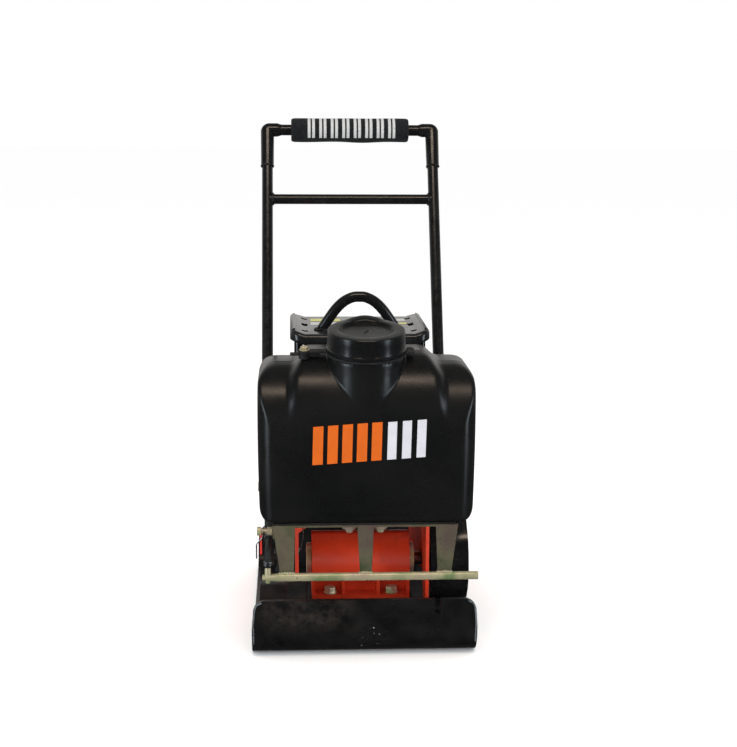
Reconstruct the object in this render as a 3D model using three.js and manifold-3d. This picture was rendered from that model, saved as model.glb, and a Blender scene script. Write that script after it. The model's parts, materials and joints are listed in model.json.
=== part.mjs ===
// Walk-behind plate compactor with a front water tank, in millimetres.
// X is across the machine, the front faces -Y, +Z is up, and the sole of the base plate lies at Z = 0.
import * as THREE from "three";
import { mergeVertices } from "three/addons/utils/BufferGeometryUtils.js";
import Module from "manifold-3d";

const wasm = await Module();
wasm.setup();

// ---------------------------------------------------------------- driving dimensions
const GAP = 0.3; // between pieces that touch
const DEG = Math.PI / 180;

// base plate
const PLATE_WIDTH = 380;
const PLATE_LENGTH = 530;
const PLATE_THICK = 8;
const LIP_HEIGHT = 102;
const REAR_LIP_HEIGHT = 84;
const LIP_BEND = 45;
const LIP_LEAN = 5 * DEG;
const LIP_CORNER = 22;
const LIP_NOTCH = { x: 122, width: 9, depth: 26 };
const PAD_HEIGHT = 51.7;
const RAMP = { outer: 178, inner: 97, top: 104, nose: 80 };

// exciter
const EXCITER_Y = -57;
const EXCITER_Z = 110;
const EXCITER_RADIUS = 52;
const EXCITER_HALF = 87;
const EXCITER_FOOT = { front: -112, back: -2, thick: 8 };
const EXCITER_BORE = 34;
const BEARING_RADIUS = 26.7;
const SHAFT_RADIUS = 12;
const ECCENTRIC_RADIUS = 25;
const COVER = { radius: 30, thick: 9 };
const EXCITER_BOLT_X = 55;
const BOLT_FLATS = 19;

// drive
const BELT_X = 138;
const BELT_WIDTH = 10;
const BELT_THICK = 6;
const PULLEY_WIDTH = 23;
const EXCITER_PULLEY_RADIUS = 34;
const CLUTCH_RADIUS = 46;
const GUARD_WALL = 3;
const BELT_GUARD_ROOM = 12; // from a pulley's rim to the inside of the guard
const BULGE = { outer: 187, front: -153, radius: 78, z: 118 };

// engine deck
const DECK_HALF = 116.5;
const DECK_WALL = 6;
const DECK_TOP = 178;
const DECK_FRONT = -157;
const DECK_BACK = 215;
const DECK_HORN_TOP = 225;
const FOOT_Z = 46;
const FOOT_REACH = 158;
const ISOLATOR = { x: 138, front: -138, back: 190, radius: 18 };

// engine
const CRANK_Y = 95;
const CRANK_Z = 284;
const CRANK_RADIUS = 11;
const CYLINDER_LEAN = 65 * DEG;
const CASE_HALF = 62;
const SHROUD = { radius: 76, outer: 100 };
const FUEL_TANK = { half: 92, front: 50, back: 160, bottom: 396, top: 470 };

// top guard
const TRAY = { half: 124, front: -59, back: 186, top: 520, fold: 97, rise: 9, skirt: 20, corner: 22 };
const GUARD_LEG = { x: 109, front: -40, back: 168, radius: 7.5 };
const RAIL_Z = 490;
const ARCH = { half: 68, height: 60, radius: 9.5, y: 0 };

// handle, drawn upright in a frame that leans back about its pivot
const HANDLE_LEAN = 24.2 * DEG;
const HANDLE_HALF = 169;
const HANDLE_PIVOT_Y = 142;
const HANDLE_PIVOT_Z = 195;
const HANDLE_TUBE = 11;
const HANDLE_LENGTH = 740;
const CROSSBAR_UP = 589;
const SLEEVE = { radius: 13.5, length: 80 };
const PIVOT_BOLT = 6;
const PAD = { half: 120.5, radius: 27 };
const BRACKET = { inner: 148, outer: 154 };

// water tank
const TANK = { half: 182, front: -262, back: -80, bottom: 234, shoulder: 492, top: 510, wall: 5 };
const TANK_CORE = { foot: 125, crown: 112 };
const TANK_ROUND = 108;
const NECK = { x: 3, y: -199.7, z: 515.4, radius: 65, bore: 52 };
const NECK_LEAN = 9 * DEG;
const CAP = { top: 64, rim: 67, height: 39, inner: 57.5, recess: 43 };

// water line
const BRACKET_SHEET = 3;
const BRACKET_HALF = 154;
const SPRAY = { y: -282, z: 149, radius: 6.75, left: -171, right: 186 };
const LEG_TILT = Math.atan2(TANK.front - 2 - SPRAY.y, TANK.bottom - 3 - SPRAY.z);
const VALVE = { x: -160, y: -195, z: 196, radius: 9 };
const HOSE_RADIUS = 5.5;
const PIN = { y: -250, z: 219, radius: 4 };

// ---------------------------------------------------------------- materials
const finish = (color, roughness, metalness) =>
  new THREE.MeshStandardMaterial({ color, roughness, metalness });
const GLOSS_BLACK = finish(0x15161a, 0.25, 0.2);
const DUSTY_BLACK = finish(0x1b1a19, 0.5, 0.2);
const ORANGE_RED = finish(0xd03a1c, 0.4, 0.1);
const YELLOW_ZINC = finish(0xa6a27a, 0.35, 0.9);
const BARE_STEEL = finish(0x9a9da0, 0.35, 0.9);
const TANK_BLACK = finish(0x131415, 0.5, 0);
const CAST_ALLOY = finish(0x8c8e90, 0.55, 0.8);
const RUBBER = finish(0x17171a, 0.85, 0);
const RED_GRIP = finish(0xc41d1a, 0.5, 0);
const DARK_PLASTIC = finish(0x202124, 0.6, 0);

// ---------------------------------------------------------------- geometry helpers
const V = (x, y, z) => new THREE.Vector3(x, y, z);

// A closed three.js geometry as a solid that can be joined and cut, placed by an optional matrix.
function solid(geometry, place = new THREE.Matrix4()) {
  const bare = geometry.clone().applyMatrix4(place);
  bare.deleteAttribute("normal");
  bare.deleteAttribute("uv");
  const merged = mergeVertices(bare, 1e-3);
  return new wasm.Manifold(
    new wasm.Mesh({
      numProp: 3,
      vertProperties: merged.attributes.position.array,
      triVerts: new Uint32Array(merged.index.array),
    }),
  );
}

// A solid back as a geometry.
function geometryOf(made) {
  const { vertProperties, triVerts } = made.getMesh();
  const geometry = new THREE.BufferGeometry();
  geometry.setAttribute("position", new THREE.BufferAttribute(vertProperties, 3));
  geometry.setIndex(new THREE.BufferAttribute(triVerts, 1));
  const flat = geometry.toNonIndexed();
  flat.computeVertexNormals();
  return flat;
}

const join = (...parts) => parts.reduce((whole, part) => whole.add(part));
const cut = (whole, ...tools) => tools.reduce((rest, tool) => rest.subtract(tool), whole);

// A block between two corners, each side given as [low, high].
function box(x, y, z) {
  return new THREE.BoxGeometry(x[1] - x[0], y[1] - y[0], z[1] - z[0]).translate(
    (x[0] + x[1]) / 2,
    (y[0] + y[1]) / 2,
    (z[0] + z[1]) / 2,
  );
}

// The rotation that takes +Y to a direction, then a move to a point.
function along(origin, direction) {
  const turn = new THREE.Quaternion().setFromUnitVectors(V(0, 1, 0), direction.clone().normalize());
  return new THREE.Matrix4().compose(origin, turn, V(1, 1, 1));
}

// A round bar from a to b, which tapers if the end radius differs.
function rod(a, b, radius, sides = 24, endRadius = radius) {
  const length = a.distanceTo(b);
  return new THREE.CylinderGeometry(endRadius, radius, length, sides)
    .translate(0, length / 2, 0)
    .applyMatrix4(along(a, b.clone().sub(a)));
}

// A turned piece: points [radius, height] run up the outside, from the axis or closed on themselves.
function turned(profile, origin, direction, sides = 32) {
  const points = profile.map(([r, h]) => new THREE.Vector2(r, h));
  return new THREE.LatheGeometry(points, sides).applyMatrix4(along(origin, direction));
}

// A plain ring about an axis, from height 0 to its thickness.
function ring(inner, outer, thick, origin, direction, sides = 32) {
  const profile = [[inner, 0], [outer, 0], [outer, thick], [inner, thick], [inner, 0]];
  return turned(profile, origin, direction, sides);
}

// A closed outline whose corners [a, b, radius] are rounded where a radius is given.
function outline(corners) {
  const shape = new THREE.Shape();
  corners.forEach(([a, b, radius = 0], i) => {
    const corner = new THREE.Vector2(a, b);
    if (radius === 0) {
      if (i === 0) shape.moveTo(a, b);
      else shape.lineTo(a, b);
      return;
    }
    const before = new THREE.Vector2(...corners.at(i - 1)).sub(corner).normalize();
    const after = new THREE.Vector2(...corners[(i + 1) % corners.length]).sub(corner).normalize();
    const half = Math.acos(THREE.MathUtils.clamp(before.dot(after), -1, 1)) / 2;
    const reach = radius / Math.tan(half);
    const start = corner.clone().addScaledVector(before, reach);
    const end = corner.clone().addScaledVector(after, reach);
    const middle = before.clone().add(after).normalize();
    const centre = corner.clone().addScaledVector(middle, radius / Math.sin(half));
    if (i === 0) shape.moveTo(start.x, start.y);
    else shape.lineTo(start.x, start.y);
    const from = Math.atan2(start.y - centre.y, start.x - centre.x);
    const to = Math.atan2(end.y - centre.y, end.x - centre.x);
    shape.absarc(centre.x, centre.y, radius, from, to, before.cross(after) > 0);
  });
  return shape;
}

// The corners of a rectangle with one radius.
const rectangle = (a, b, radius = 0) => [
  [a[0], b[0], radius],
  [a[1], b[0], radius],
  [a[1], b[1], radius],
  [a[0], b[1], radius],
];

function disc(a, b, radius) {
  const shape = new THREE.Shape();
  shape.absarc(a, b, radius, 0, 2 * Math.PI, false);
  return shape;
}

function extruded(shape, depth, segments) {
  return new THREE.ExtrudeGeometry(shape, { depth, bevelEnabled: false, curveSegments: segments });
}

// Outlines drawn in (Y, Z), (X, Z) or (X, Y), with their thickness along the axis that is left.
function alongX(shape, from, to, segments = 6) {
  const turn = new THREE.Matrix4().makeBasis(V(0, 1, 0), V(0, 0, 1), V(1, 0, 0));
  return extruded(shape, to - from, segments).applyMatrix4(turn).translate(from, 0, 0);
}
function alongY(shape, from, to, segments = 6) {
  const turn = new THREE.Matrix4().makeBasis(V(1, 0, 0), V(0, 0, 1), V(0, -1, 0));
  return extruded(shape, to - from, segments).applyMatrix4(turn).translate(0, to, 0);
}
function alongZ(shape, from, to, segments = 6) {
  return extruded(shape, to - from, segments).translate(0, 0, from);
}

// A route through a list of stations, one section of an extrusion at each.
class Route extends THREE.Curve {
  constructor(stations) {
    super();
    this.stations = stations;
  }
  getPointAt(u) {
    return this.stations[Math.round(u * (this.stations.length - 1))].clone();
  }
  getTangentAt(u) {
    const i = Math.round(u * (this.stations.length - 1));
    const ahead = this.stations[Math.min(i + 1, this.stations.length - 1)];
    const behind = this.stations[Math.max(i - 1, 0)];
    const outgoing = ahead.clone().sub(this.stations[i]).normalize();
    const incoming = this.stations[i].clone().sub(behind).normalize();
    return outgoing.add(incoming).normalize();
  }
}

// The stations of a bent tube: straight runs with a rounded corner at each inner point.
function bent(points, bend, steps = 6) {
  const stations = [points[0]];
  for (let i = 1; i < points.length - 1; i += 1) {
    const before = points[i - 1].clone().sub(points[i]);
    const after = points[i + 1].clone().sub(points[i]);
    const reach = Math.min(bend, before.length() * 0.49, after.length() * 0.49);
    const start = points[i].clone().addScaledVector(before.normalize(), reach);
    const end = points[i].clone().addScaledVector(after.normalize(), reach);
    stations.push(...new THREE.QuadraticBezierCurve3(start, points[i], end).getPoints(steps));
  }
  stations.push(points.at(-1));
  return stations;
}

// A round bar or tube swept along stations.
function swept(stations, radius, sides = 12) {
  const section = Array.from({ length: sides }, (_, i) => {
    const angle = (2 * Math.PI * i) / sides;
    return new THREE.Vector2(radius * Math.cos(angle), radius * Math.sin(angle));
  });
  return new THREE.ExtrudeGeometry(new THREE.Shape(section), {
    steps: stations.length - 1,
    extrudePath: new Route(stations),
  });
}

// The outline of a belt round two wheels, in (Y, Z).
function beltOutline(yA, zA, rA, yB, zB, rB) {
  const heading = Math.atan2(zB - zA, yB - yA);
  const spread = Math.acos((rA - rB) / Math.hypot(yB - yA, zB - zA));
  const shape = new THREE.Shape();
  shape.absarc(yA, zA, rA, heading + spread, heading - spread + 2 * Math.PI, false);
  shape.absarc(yB, zB, rB, heading - spread, heading + spread, false);
  return shape;
}

// Meshes are added to the whole machine, or to a leaning frame inside it.
const compactor = new THREE.Group();

function add(name, made, material, frame = compactor) {
  const mesh = new THREE.Mesh(geometryOf(made), material);
  mesh.name = name;
  frame.add(mesh);
}

// A group that leans about the X axis through a point.
function leaning(x, y, z, angle) {
  const frame = new THREE.Group();
  frame.position.set(x, y, z);
  frame.rotation.x = angle;
  frame.updateMatrix();
  compactor.add(frame);
  return frame;
}

const SIDES = [["left", -1], ["right", 1]];
// [low, high] of a span that is mirrored to one side of the machine.
const mirrored = (side, near, far) => (side < 0 ? [-far, -near] : [near, far]);

// ---------------------------------------------------------------- base plate
const HALF_LENGTH = PLATE_LENGTH / 2;

// One end of the plate, seen from the side: flat sole, bend and lip. The end is -1 front, 1 back.
function plateEnd(end, lipHeight) {
  const sweep = Math.PI / 2 - LIP_LEAN;
  const lipRun = (lipHeight - LIP_BEND * (1 - Math.cos(sweep))) / Math.sin(sweep);
  const lipReach = lipRun * Math.cos(sweep) + LIP_BEND * Math.sin(sweep);
  const bendStart = HALF_LENGTH - lipReach;
  const steps = 8;
  const bendPoint = (radius, i) => {
    const angle = (sweep * i) / steps;
    return [bendStart + radius * Math.sin(angle), LIP_BEND - radius * Math.cos(angle)];
  };
  const indices = Array.from({ length: steps + 1 }, (_, i) => i);
  const outer = indices.map((i) => bendPoint(LIP_BEND, i));
  const inner = indices.map((i) => bendPoint(LIP_BEND - PLATE_THICK, i)).reverse();
  const drop = PLATE_THICK * Math.cos(LIP_LEAN);
  const corners = [
    [0, 0],
    ...outer,
    [HALF_LENGTH, lipHeight],
    [HALF_LENGTH - drop, lipHeight + PLATE_THICK * Math.sin(LIP_LEAN)],
    ...inner,
    [0, PLATE_THICK],
  ];
  const profile = corners.map(([y, z]) => [end * y, z]);
  if (end < 0) profile.reverse();
  const half = PLATE_WIDTH / 2;
  const face = outline([
    [-half, -1],
    [half, -1],
    [half, LIP_HEIGHT * 0.5],
    [half - 4, lipHeight + PLATE_THICK * Math.sin(LIP_LEAN), LIP_CORNER],
    [4 - half, lipHeight + PLATE_THICK * Math.sin(LIP_LEAN), LIP_CORNER],
    [-half, LIP_HEIGHT * 0.5],
  ]);
  const sheet = solid(alongX(outline(profile), -half, half));
  return sheet.intersect(solid(alongY(face, -HALF_LENGTH - 1, HALF_LENGTH + 1)));
}

function makeBase() {
  const notch = box(
    [LIP_NOTCH.x - LIP_NOTCH.width / 2, LIP_NOTCH.x + LIP_NOTCH.width / 2],
    [-HALF_LENGTH - 5, -HALF_LENGTH + 30],
    [LIP_HEIGHT - LIP_NOTCH.depth, LIP_HEIGHT + 10],
  );
  const pad = box(
    [-EXCITER_HALF - 5, EXCITER_HALF + 5],
    [EXCITER_FOOT.front - 3, EXCITER_FOOT.back + 7],
    [PLATE_THICK - 1, PAD_HEIGHT],
  );
  const plate = join(plateEnd(-1, LIP_HEIGHT), plateEnd(1, REAR_LIP_HEIGHT), solid(pad));
  add("base_plate", cut(plate, solid(notch)), DUSTY_BLACK);

  const rampBack = DECK_FRONT - 5;
  const rampFront = -HALF_LENGTH + 29;
  const ramp = outline([
    [rampFront + 25, PLATE_THICK + GAP],
    [rampBack, PLATE_THICK + GAP],
    [rampBack, RAMP.top],
    [rampBack - 24, RAMP.top],
    [rampFront, RAMP.nose],
    [rampFront, RAMP.nose - 20],
  ]);
  add("base_ramp", solid(alongX(ramp, -RAMP.outer, -RAMP.inner)), DUSTY_BLACK);
}

// ---------------------------------------------------------------- exciter
function makeExciter() {
  const base = PAD_HEIGHT + GAP;
  const footTop = base + EXCITER_FOOT.thick;
  const across = [-EXCITER_HALF, EXCITER_HALF];
  const axisPoint = (x) => V(x, EXCITER_Y, EXCITER_Z);
  const barrel = rod(axisPoint(across[0]), axisPoint(across[1]), EXCITER_RADIUS, 32);
  const block = box(across, [EXCITER_FOOT.front + 4, EXCITER_FOOT.back - 4], [footTop - 1, EXCITER_Z]);
  const foot = box(across, [EXCITER_FOOT.front, EXCITER_FOOT.back], [base, footTop]);
  let housing = join(solid(barrel), solid(block), solid(foot));

  // three pockets between four ribs, in front and behind
  const rib = 6;
  const pocketTop = EXCITER_Z - 22;
  const pocketEdge = EXCITER_BOLT_X - 24;
  const pockets = [[-EXCITER_HALF + rib, -pocketEdge - rib / 2], [-pocketEdge + rib / 2, pocketEdge - rib / 2]];
  pockets.push([pocketEdge + rib / 2, EXCITER_HALF - rib]);
  for (const x of pockets) {
    const front = box(x, [EXCITER_FOOT.front - 1, EXCITER_FOOT.front + 27], [footTop, pocketTop]);
    const back = box(x, [EXCITER_FOOT.back - 27, EXCITER_FOOT.back + 1], [footTop, pocketTop]);
    housing = cut(housing, solid(front), solid(back));
  }
  const bearingSeat = 16;
  const chamber = rod(axisPoint(bearingSeat - EXCITER_HALF), axisPoint(EXCITER_HALF - bearingSeat), EXCITER_BORE, 16);
  const seat = rod(axisPoint(-EXCITER_HALF - 1), axisPoint(EXCITER_HALF + 1), BEARING_RADIUS + GAP, 20);
  add("exciter_housing", cut(housing, solid(chamber), solid(seat)), ORANGE_RED);

  for (const [side, sign] of SIDES) {
    const out = V(sign, 0, 0);
    const bearing = ring(
      SHAFT_RADIUS + GAP,
      BEARING_RADIUS,
      bearingSeat - 3,
      axisPoint(sign * (EXCITER_HALF - bearingSeat + 1)),
      out,
      20,
    );
    add(`exciter_bearing_${side}`, solid(bearing), BARE_STEEL);
    const cover = ring(
      SHAFT_RADIUS + 1,
      COVER.radius,
      COVER.thick,
      axisPoint(sign * (EXCITER_HALF + GAP)),
      out,
      24,
    );
    add(`exciter_cover_${side}`, solid(cover), YELLOW_ZINC);
  }

  // shaft with a half-round weight between the bearings
  const shaftEnd = BELT_X + PULLEY_WIDTH / 2 + 4;
  const weightHalf = EXCITER_HALF - bearingSeat - 4;
  const shaft = rod(axisPoint(-EXCITER_HALF - COVER.thick + 3), axisPoint(shaftEnd), SHAFT_RADIUS, 20);
  const weight = rod(axisPoint(-weightHalf), axisPoint(weightHalf), ECCENTRIC_RADIUS, 20);
  const upperHalf = box(
    [-weightHalf - 1, weightHalf + 1],
    [EXCITER_Y - 40, EXCITER_Y + 40],
    [EXCITER_Z, EXCITER_Z + 40],
  );
  add("exciter_shaft", join(cut(solid(weight), solid(upperHalf)), solid(shaft)), BARE_STEEL);
  add("exciter_pulley", solid(pulley(EXCITER_PULLEY_RADIUS, SHAFT_RADIUS, EXCITER_Y, EXCITER_Z)), BARE_STEEL);

  // hexagon bolts with washers, in the outer pockets
  const boltRows = [["front", EXCITER_FOOT.front + 14], ["back", EXCITER_FOOT.back - 14]];
  for (const [side, sign] of SIDES) {
    for (const [row, y] of boltRows) {
      const at = V(sign * EXCITER_BOLT_X, y, footTop + GAP);
      const washer = rod(at, V(at.x, y, at.z + 2.5), BOLT_FLATS * 0.63, 20);
      const head = rod(V(at.x, y, at.z + 2), V(at.x, y, at.z + 11), BOLT_FLATS / Math.sqrt(3), 6);
      add(`exciter_bolt_${row}_${side}`, join(solid(washer), solid(head)), YELLOW_ZINC);
    }
  }
}

// A grooved pulley in the belt's plane, on a shaft along X.
function pulley(radius, shaft, y, z) {
  const groove = BELT_WIDTH / 2 + 1;
  const floor = radius - BELT_THICK - 1.5;
  const half = PULLEY_WIDTH / 2;
  const profile = [
    [shaft + GAP, -half],
    [radius, -half],
    [radius, -groove],
    [floor, -groove],
    [floor, groove],
    [radius, groove],
    [radius, half],
    [shaft + GAP, half],
    [shaft + GAP, -half],
  ];
  return turned(profile, V(BELT_X, y, z), V(1, 0, 0), 24);
}

// ---------------------------------------------------------------- belt and its guard
function makeDrive() {
  const loop = (inset) =>
    beltOutline(
      EXCITER_Y, EXCITER_Z, EXCITER_PULLEY_RADIUS - inset,
      CRANK_Y, CRANK_Z, CLUTCH_RADIUS - inset,
    );
  const beltSpan = [BELT_X - BELT_WIDTH / 2, BELT_X + BELT_WIDTH / 2];
  const belt = cut(
    solid(alongX(loop(0.5), beltSpan[0], beltSpan[1], 10)),
    solid(alongX(loop(0.5 + BELT_THICK), beltSpan[0] - 1, beltSpan[1] + 1, 10)),
  );
  add("drive_belt", belt, RUBBER);
  add("clutch_drum", solid(pulley(CLUTCH_RADIUS, CRANK_RADIUS, CRANK_Y, CRANK_Z)), BARE_STEEL);

  // a narrow shell round the belt, with a wide bulge over the exciter pulley
  const near = DECK_HALF + 4.5;
  const far = BELT_X + PULLEY_WIDTH / 2 + GUARD_WALL + 3;
  const bulgeTop = { y: EXCITER_Y + 22, z: EXCITER_Z + 65, radius: 60 };
  const bulgeY = BULGE.front + BULGE.radius;
  const shell = (inset) => {
    const room = BELT_GUARD_ROOM + GUARD_WALL - inset;
    const slim = loop(-room);
    const wide = beltOutline(
      bulgeY, BULGE.z, BULGE.radius - inset,
      bulgeTop.y, bulgeTop.z, bulgeTop.radius - inset,
    );
    return join(
      solid(alongX(slim, near + inset, far - inset, 8)),
      solid(alongX(wide, near + inset, BULGE.outer - inset, 8)),
    );
  };
  const windows = [[EXCITER_Y, EXCITER_Z, 30], [CRANK_Y, CRANK_Z, 30]].map(([y, z, radius]) =>
    solid(rod(V(near - 1, y, z), V(near + GUARD_WALL + 1, y, z), radius, 16)),
  );
  add("belt_guard", cut(shell(0), shell(GUARD_WALL), ...windows), GLOSS_BLACK);
}

// ---------------------------------------------------------------- deck on its rubber feet
const HANDLE_FRAME = leaning(0, HANDLE_PIVOT_Y, HANDLE_PIVOT_Z, -HANDLE_LEAN);

function makeDeck() {
  const footDepth = 2 * ISOLATOR.radius + 1;
  const feet = [
    [DECK_FRONT, DECK_FRONT + footDepth],
    [ISOLATOR.back - footDepth / 2, ISOLATOR.back + footDepth / 2],
  ];
  const horn = GUARD_LEG.front - GUARD_LEG.radius - 45;
  const side = outline([
    [DECK_FRONT, FOOT_Z],
    [feet[0][1], FOOT_Z],
    [feet[0][1] + 20, FOOT_Z + 40],
    [feet[1][0] - 20, FOOT_Z + 40],
    [feet[1][0], FOOT_Z],
    [DECK_BACK, FOOT_Z],
    [DECK_BACK, DECK_TOP],
    [horn + 35, DECK_TOP],
    [horn, DECK_HORN_TOP],
    [DECK_FRONT, DECK_HORN_TOP],
  ]);
  const top = box([-DECK_HALF, DECK_HALF], [horn + 30, DECK_BACK], [DECK_TOP - DECK_WALL, DECK_TOP]);
  let deck = solid(top);
  for (const [, sign] of SIDES) {
    const wall = mirrored(sign, DECK_HALF - DECK_WALL, DECK_HALF);
    deck = deck.add(solid(alongX(side, wall[0], wall[1])));
    for (const y of feet) {
      const flange = box(mirrored(sign, DECK_HALF - 1, FOOT_REACH), y, [FOOT_Z, FOOT_Z + DECK_WALL]);
      deck = deck.add(solid(flange));
    }
    deck = deck.add(handleBracket(sign));
    const hole = rod(V(sign * (DECK_HALF - 10), EXCITER_Y, EXCITER_Z), V(sign * (DECK_HALF + 4), EXCITER_Y, EXCITER_Z), 32, 16);
    deck = cut(deck, solid(hole));
  }
  // a folded gusset at the left front corner
  const wallInside = DECK_HALF - DECK_WALL + 1;
  const gusset = outline([
    [-wallInside, DECK_HORN_TOP],
    [-wallInside, DECK_HORN_TOP - 38],
    [-wallInside + 15, DECK_HORN_TOP - 26],
    [-wallInside + 24, DECK_HORN_TOP],
  ]);
  deck = deck.add(solid(alongY(gusset, DECK_FRONT, DECK_FRONT + DECK_WALL)));
  add("engine_deck", deck, ORANGE_RED);

  // rubber isolators, waisted, between the base plate and the deck's feet
  const height = FOOT_Z - PLATE_THICK - 2 * GAP;
  const profile = [
    [0, 0],
    [ISOLATOR.radius, 0],
    [ISOLATOR.radius, height * 0.15],
    [ISOLATOR.radius * 0.8, height * 0.35],
    [ISOLATOR.radius * 0.8, height * 0.65],
    [ISOLATOR.radius, height * 0.85],
    [ISOLATOR.radius, height],
    [0, height],
  ];
  for (const [name, sign] of SIDES) {
    for (const row of ["front", "back"]) {
      const at = V(sign * ISOLATOR.x, ISOLATOR[row], PLATE_THICK + GAP);
      add(`isolator_${row}_${name}`, solid(turned(profile, at, V(0, 0, 1), 16)), RUBBER);
    }
  }
}

// One of the deck's two ears that hold the handle, with the tab behind the tube that it leans on.
function handleBracket(sign) {
  const arm = box(
    mirrored(sign, DECK_HALF - 1, BRACKET.outer),
    [HANDLE_PIVOT_Y - 18, HANDLE_PIVOT_Y + 38],
    [DECK_TOP - DECK_WALL, DECK_TOP],
  );
  const ear = outline([
    [HANDLE_PIVOT_Y - 18, DECK_TOP - DECK_WALL],
    [HANDLE_PIVOT_Y + 38, DECK_TOP - DECK_WALL],
    [HANDLE_PIVOT_Y + 48, HANDLE_PIVOT_Z + 27],
    [HANDLE_PIVOT_Y + 40, HANDLE_PIVOT_Z + 44],
    [HANDLE_PIVOT_Y + 16, HANDLE_PIVOT_Z + 44],
    [HANDLE_PIVOT_Y - 18, HANDLE_PIVOT_Z + 10],
  ]);
  const plate = mirrored(sign, BRACKET.inner, BRACKET.outer);
  const tabSpan = mirrored(sign, BRACKET.outer - 1, HANDLE_HALF + HANDLE_TUBE);
  const tab = solid(box(tabSpan, [HANDLE_TUBE + 6, HANDLE_TUBE + 10], [26, 48]), HANDLE_FRAME.matrix);
  const hole = rod(
    V(sign * (BRACKET.inner - 1), HANDLE_PIVOT_Y, HANDLE_PIVOT_Z),
    V(sign * (BRACKET.outer + 1), HANDLE_PIVOT_Y, HANDLE_PIVOT_Z),
    PIVOT_BOLT + GAP,
    12,
  );
  return cut(join(solid(arm), solid(alongX(ear, plate[0], plate[1])), tab), solid(hole));
}

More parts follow.
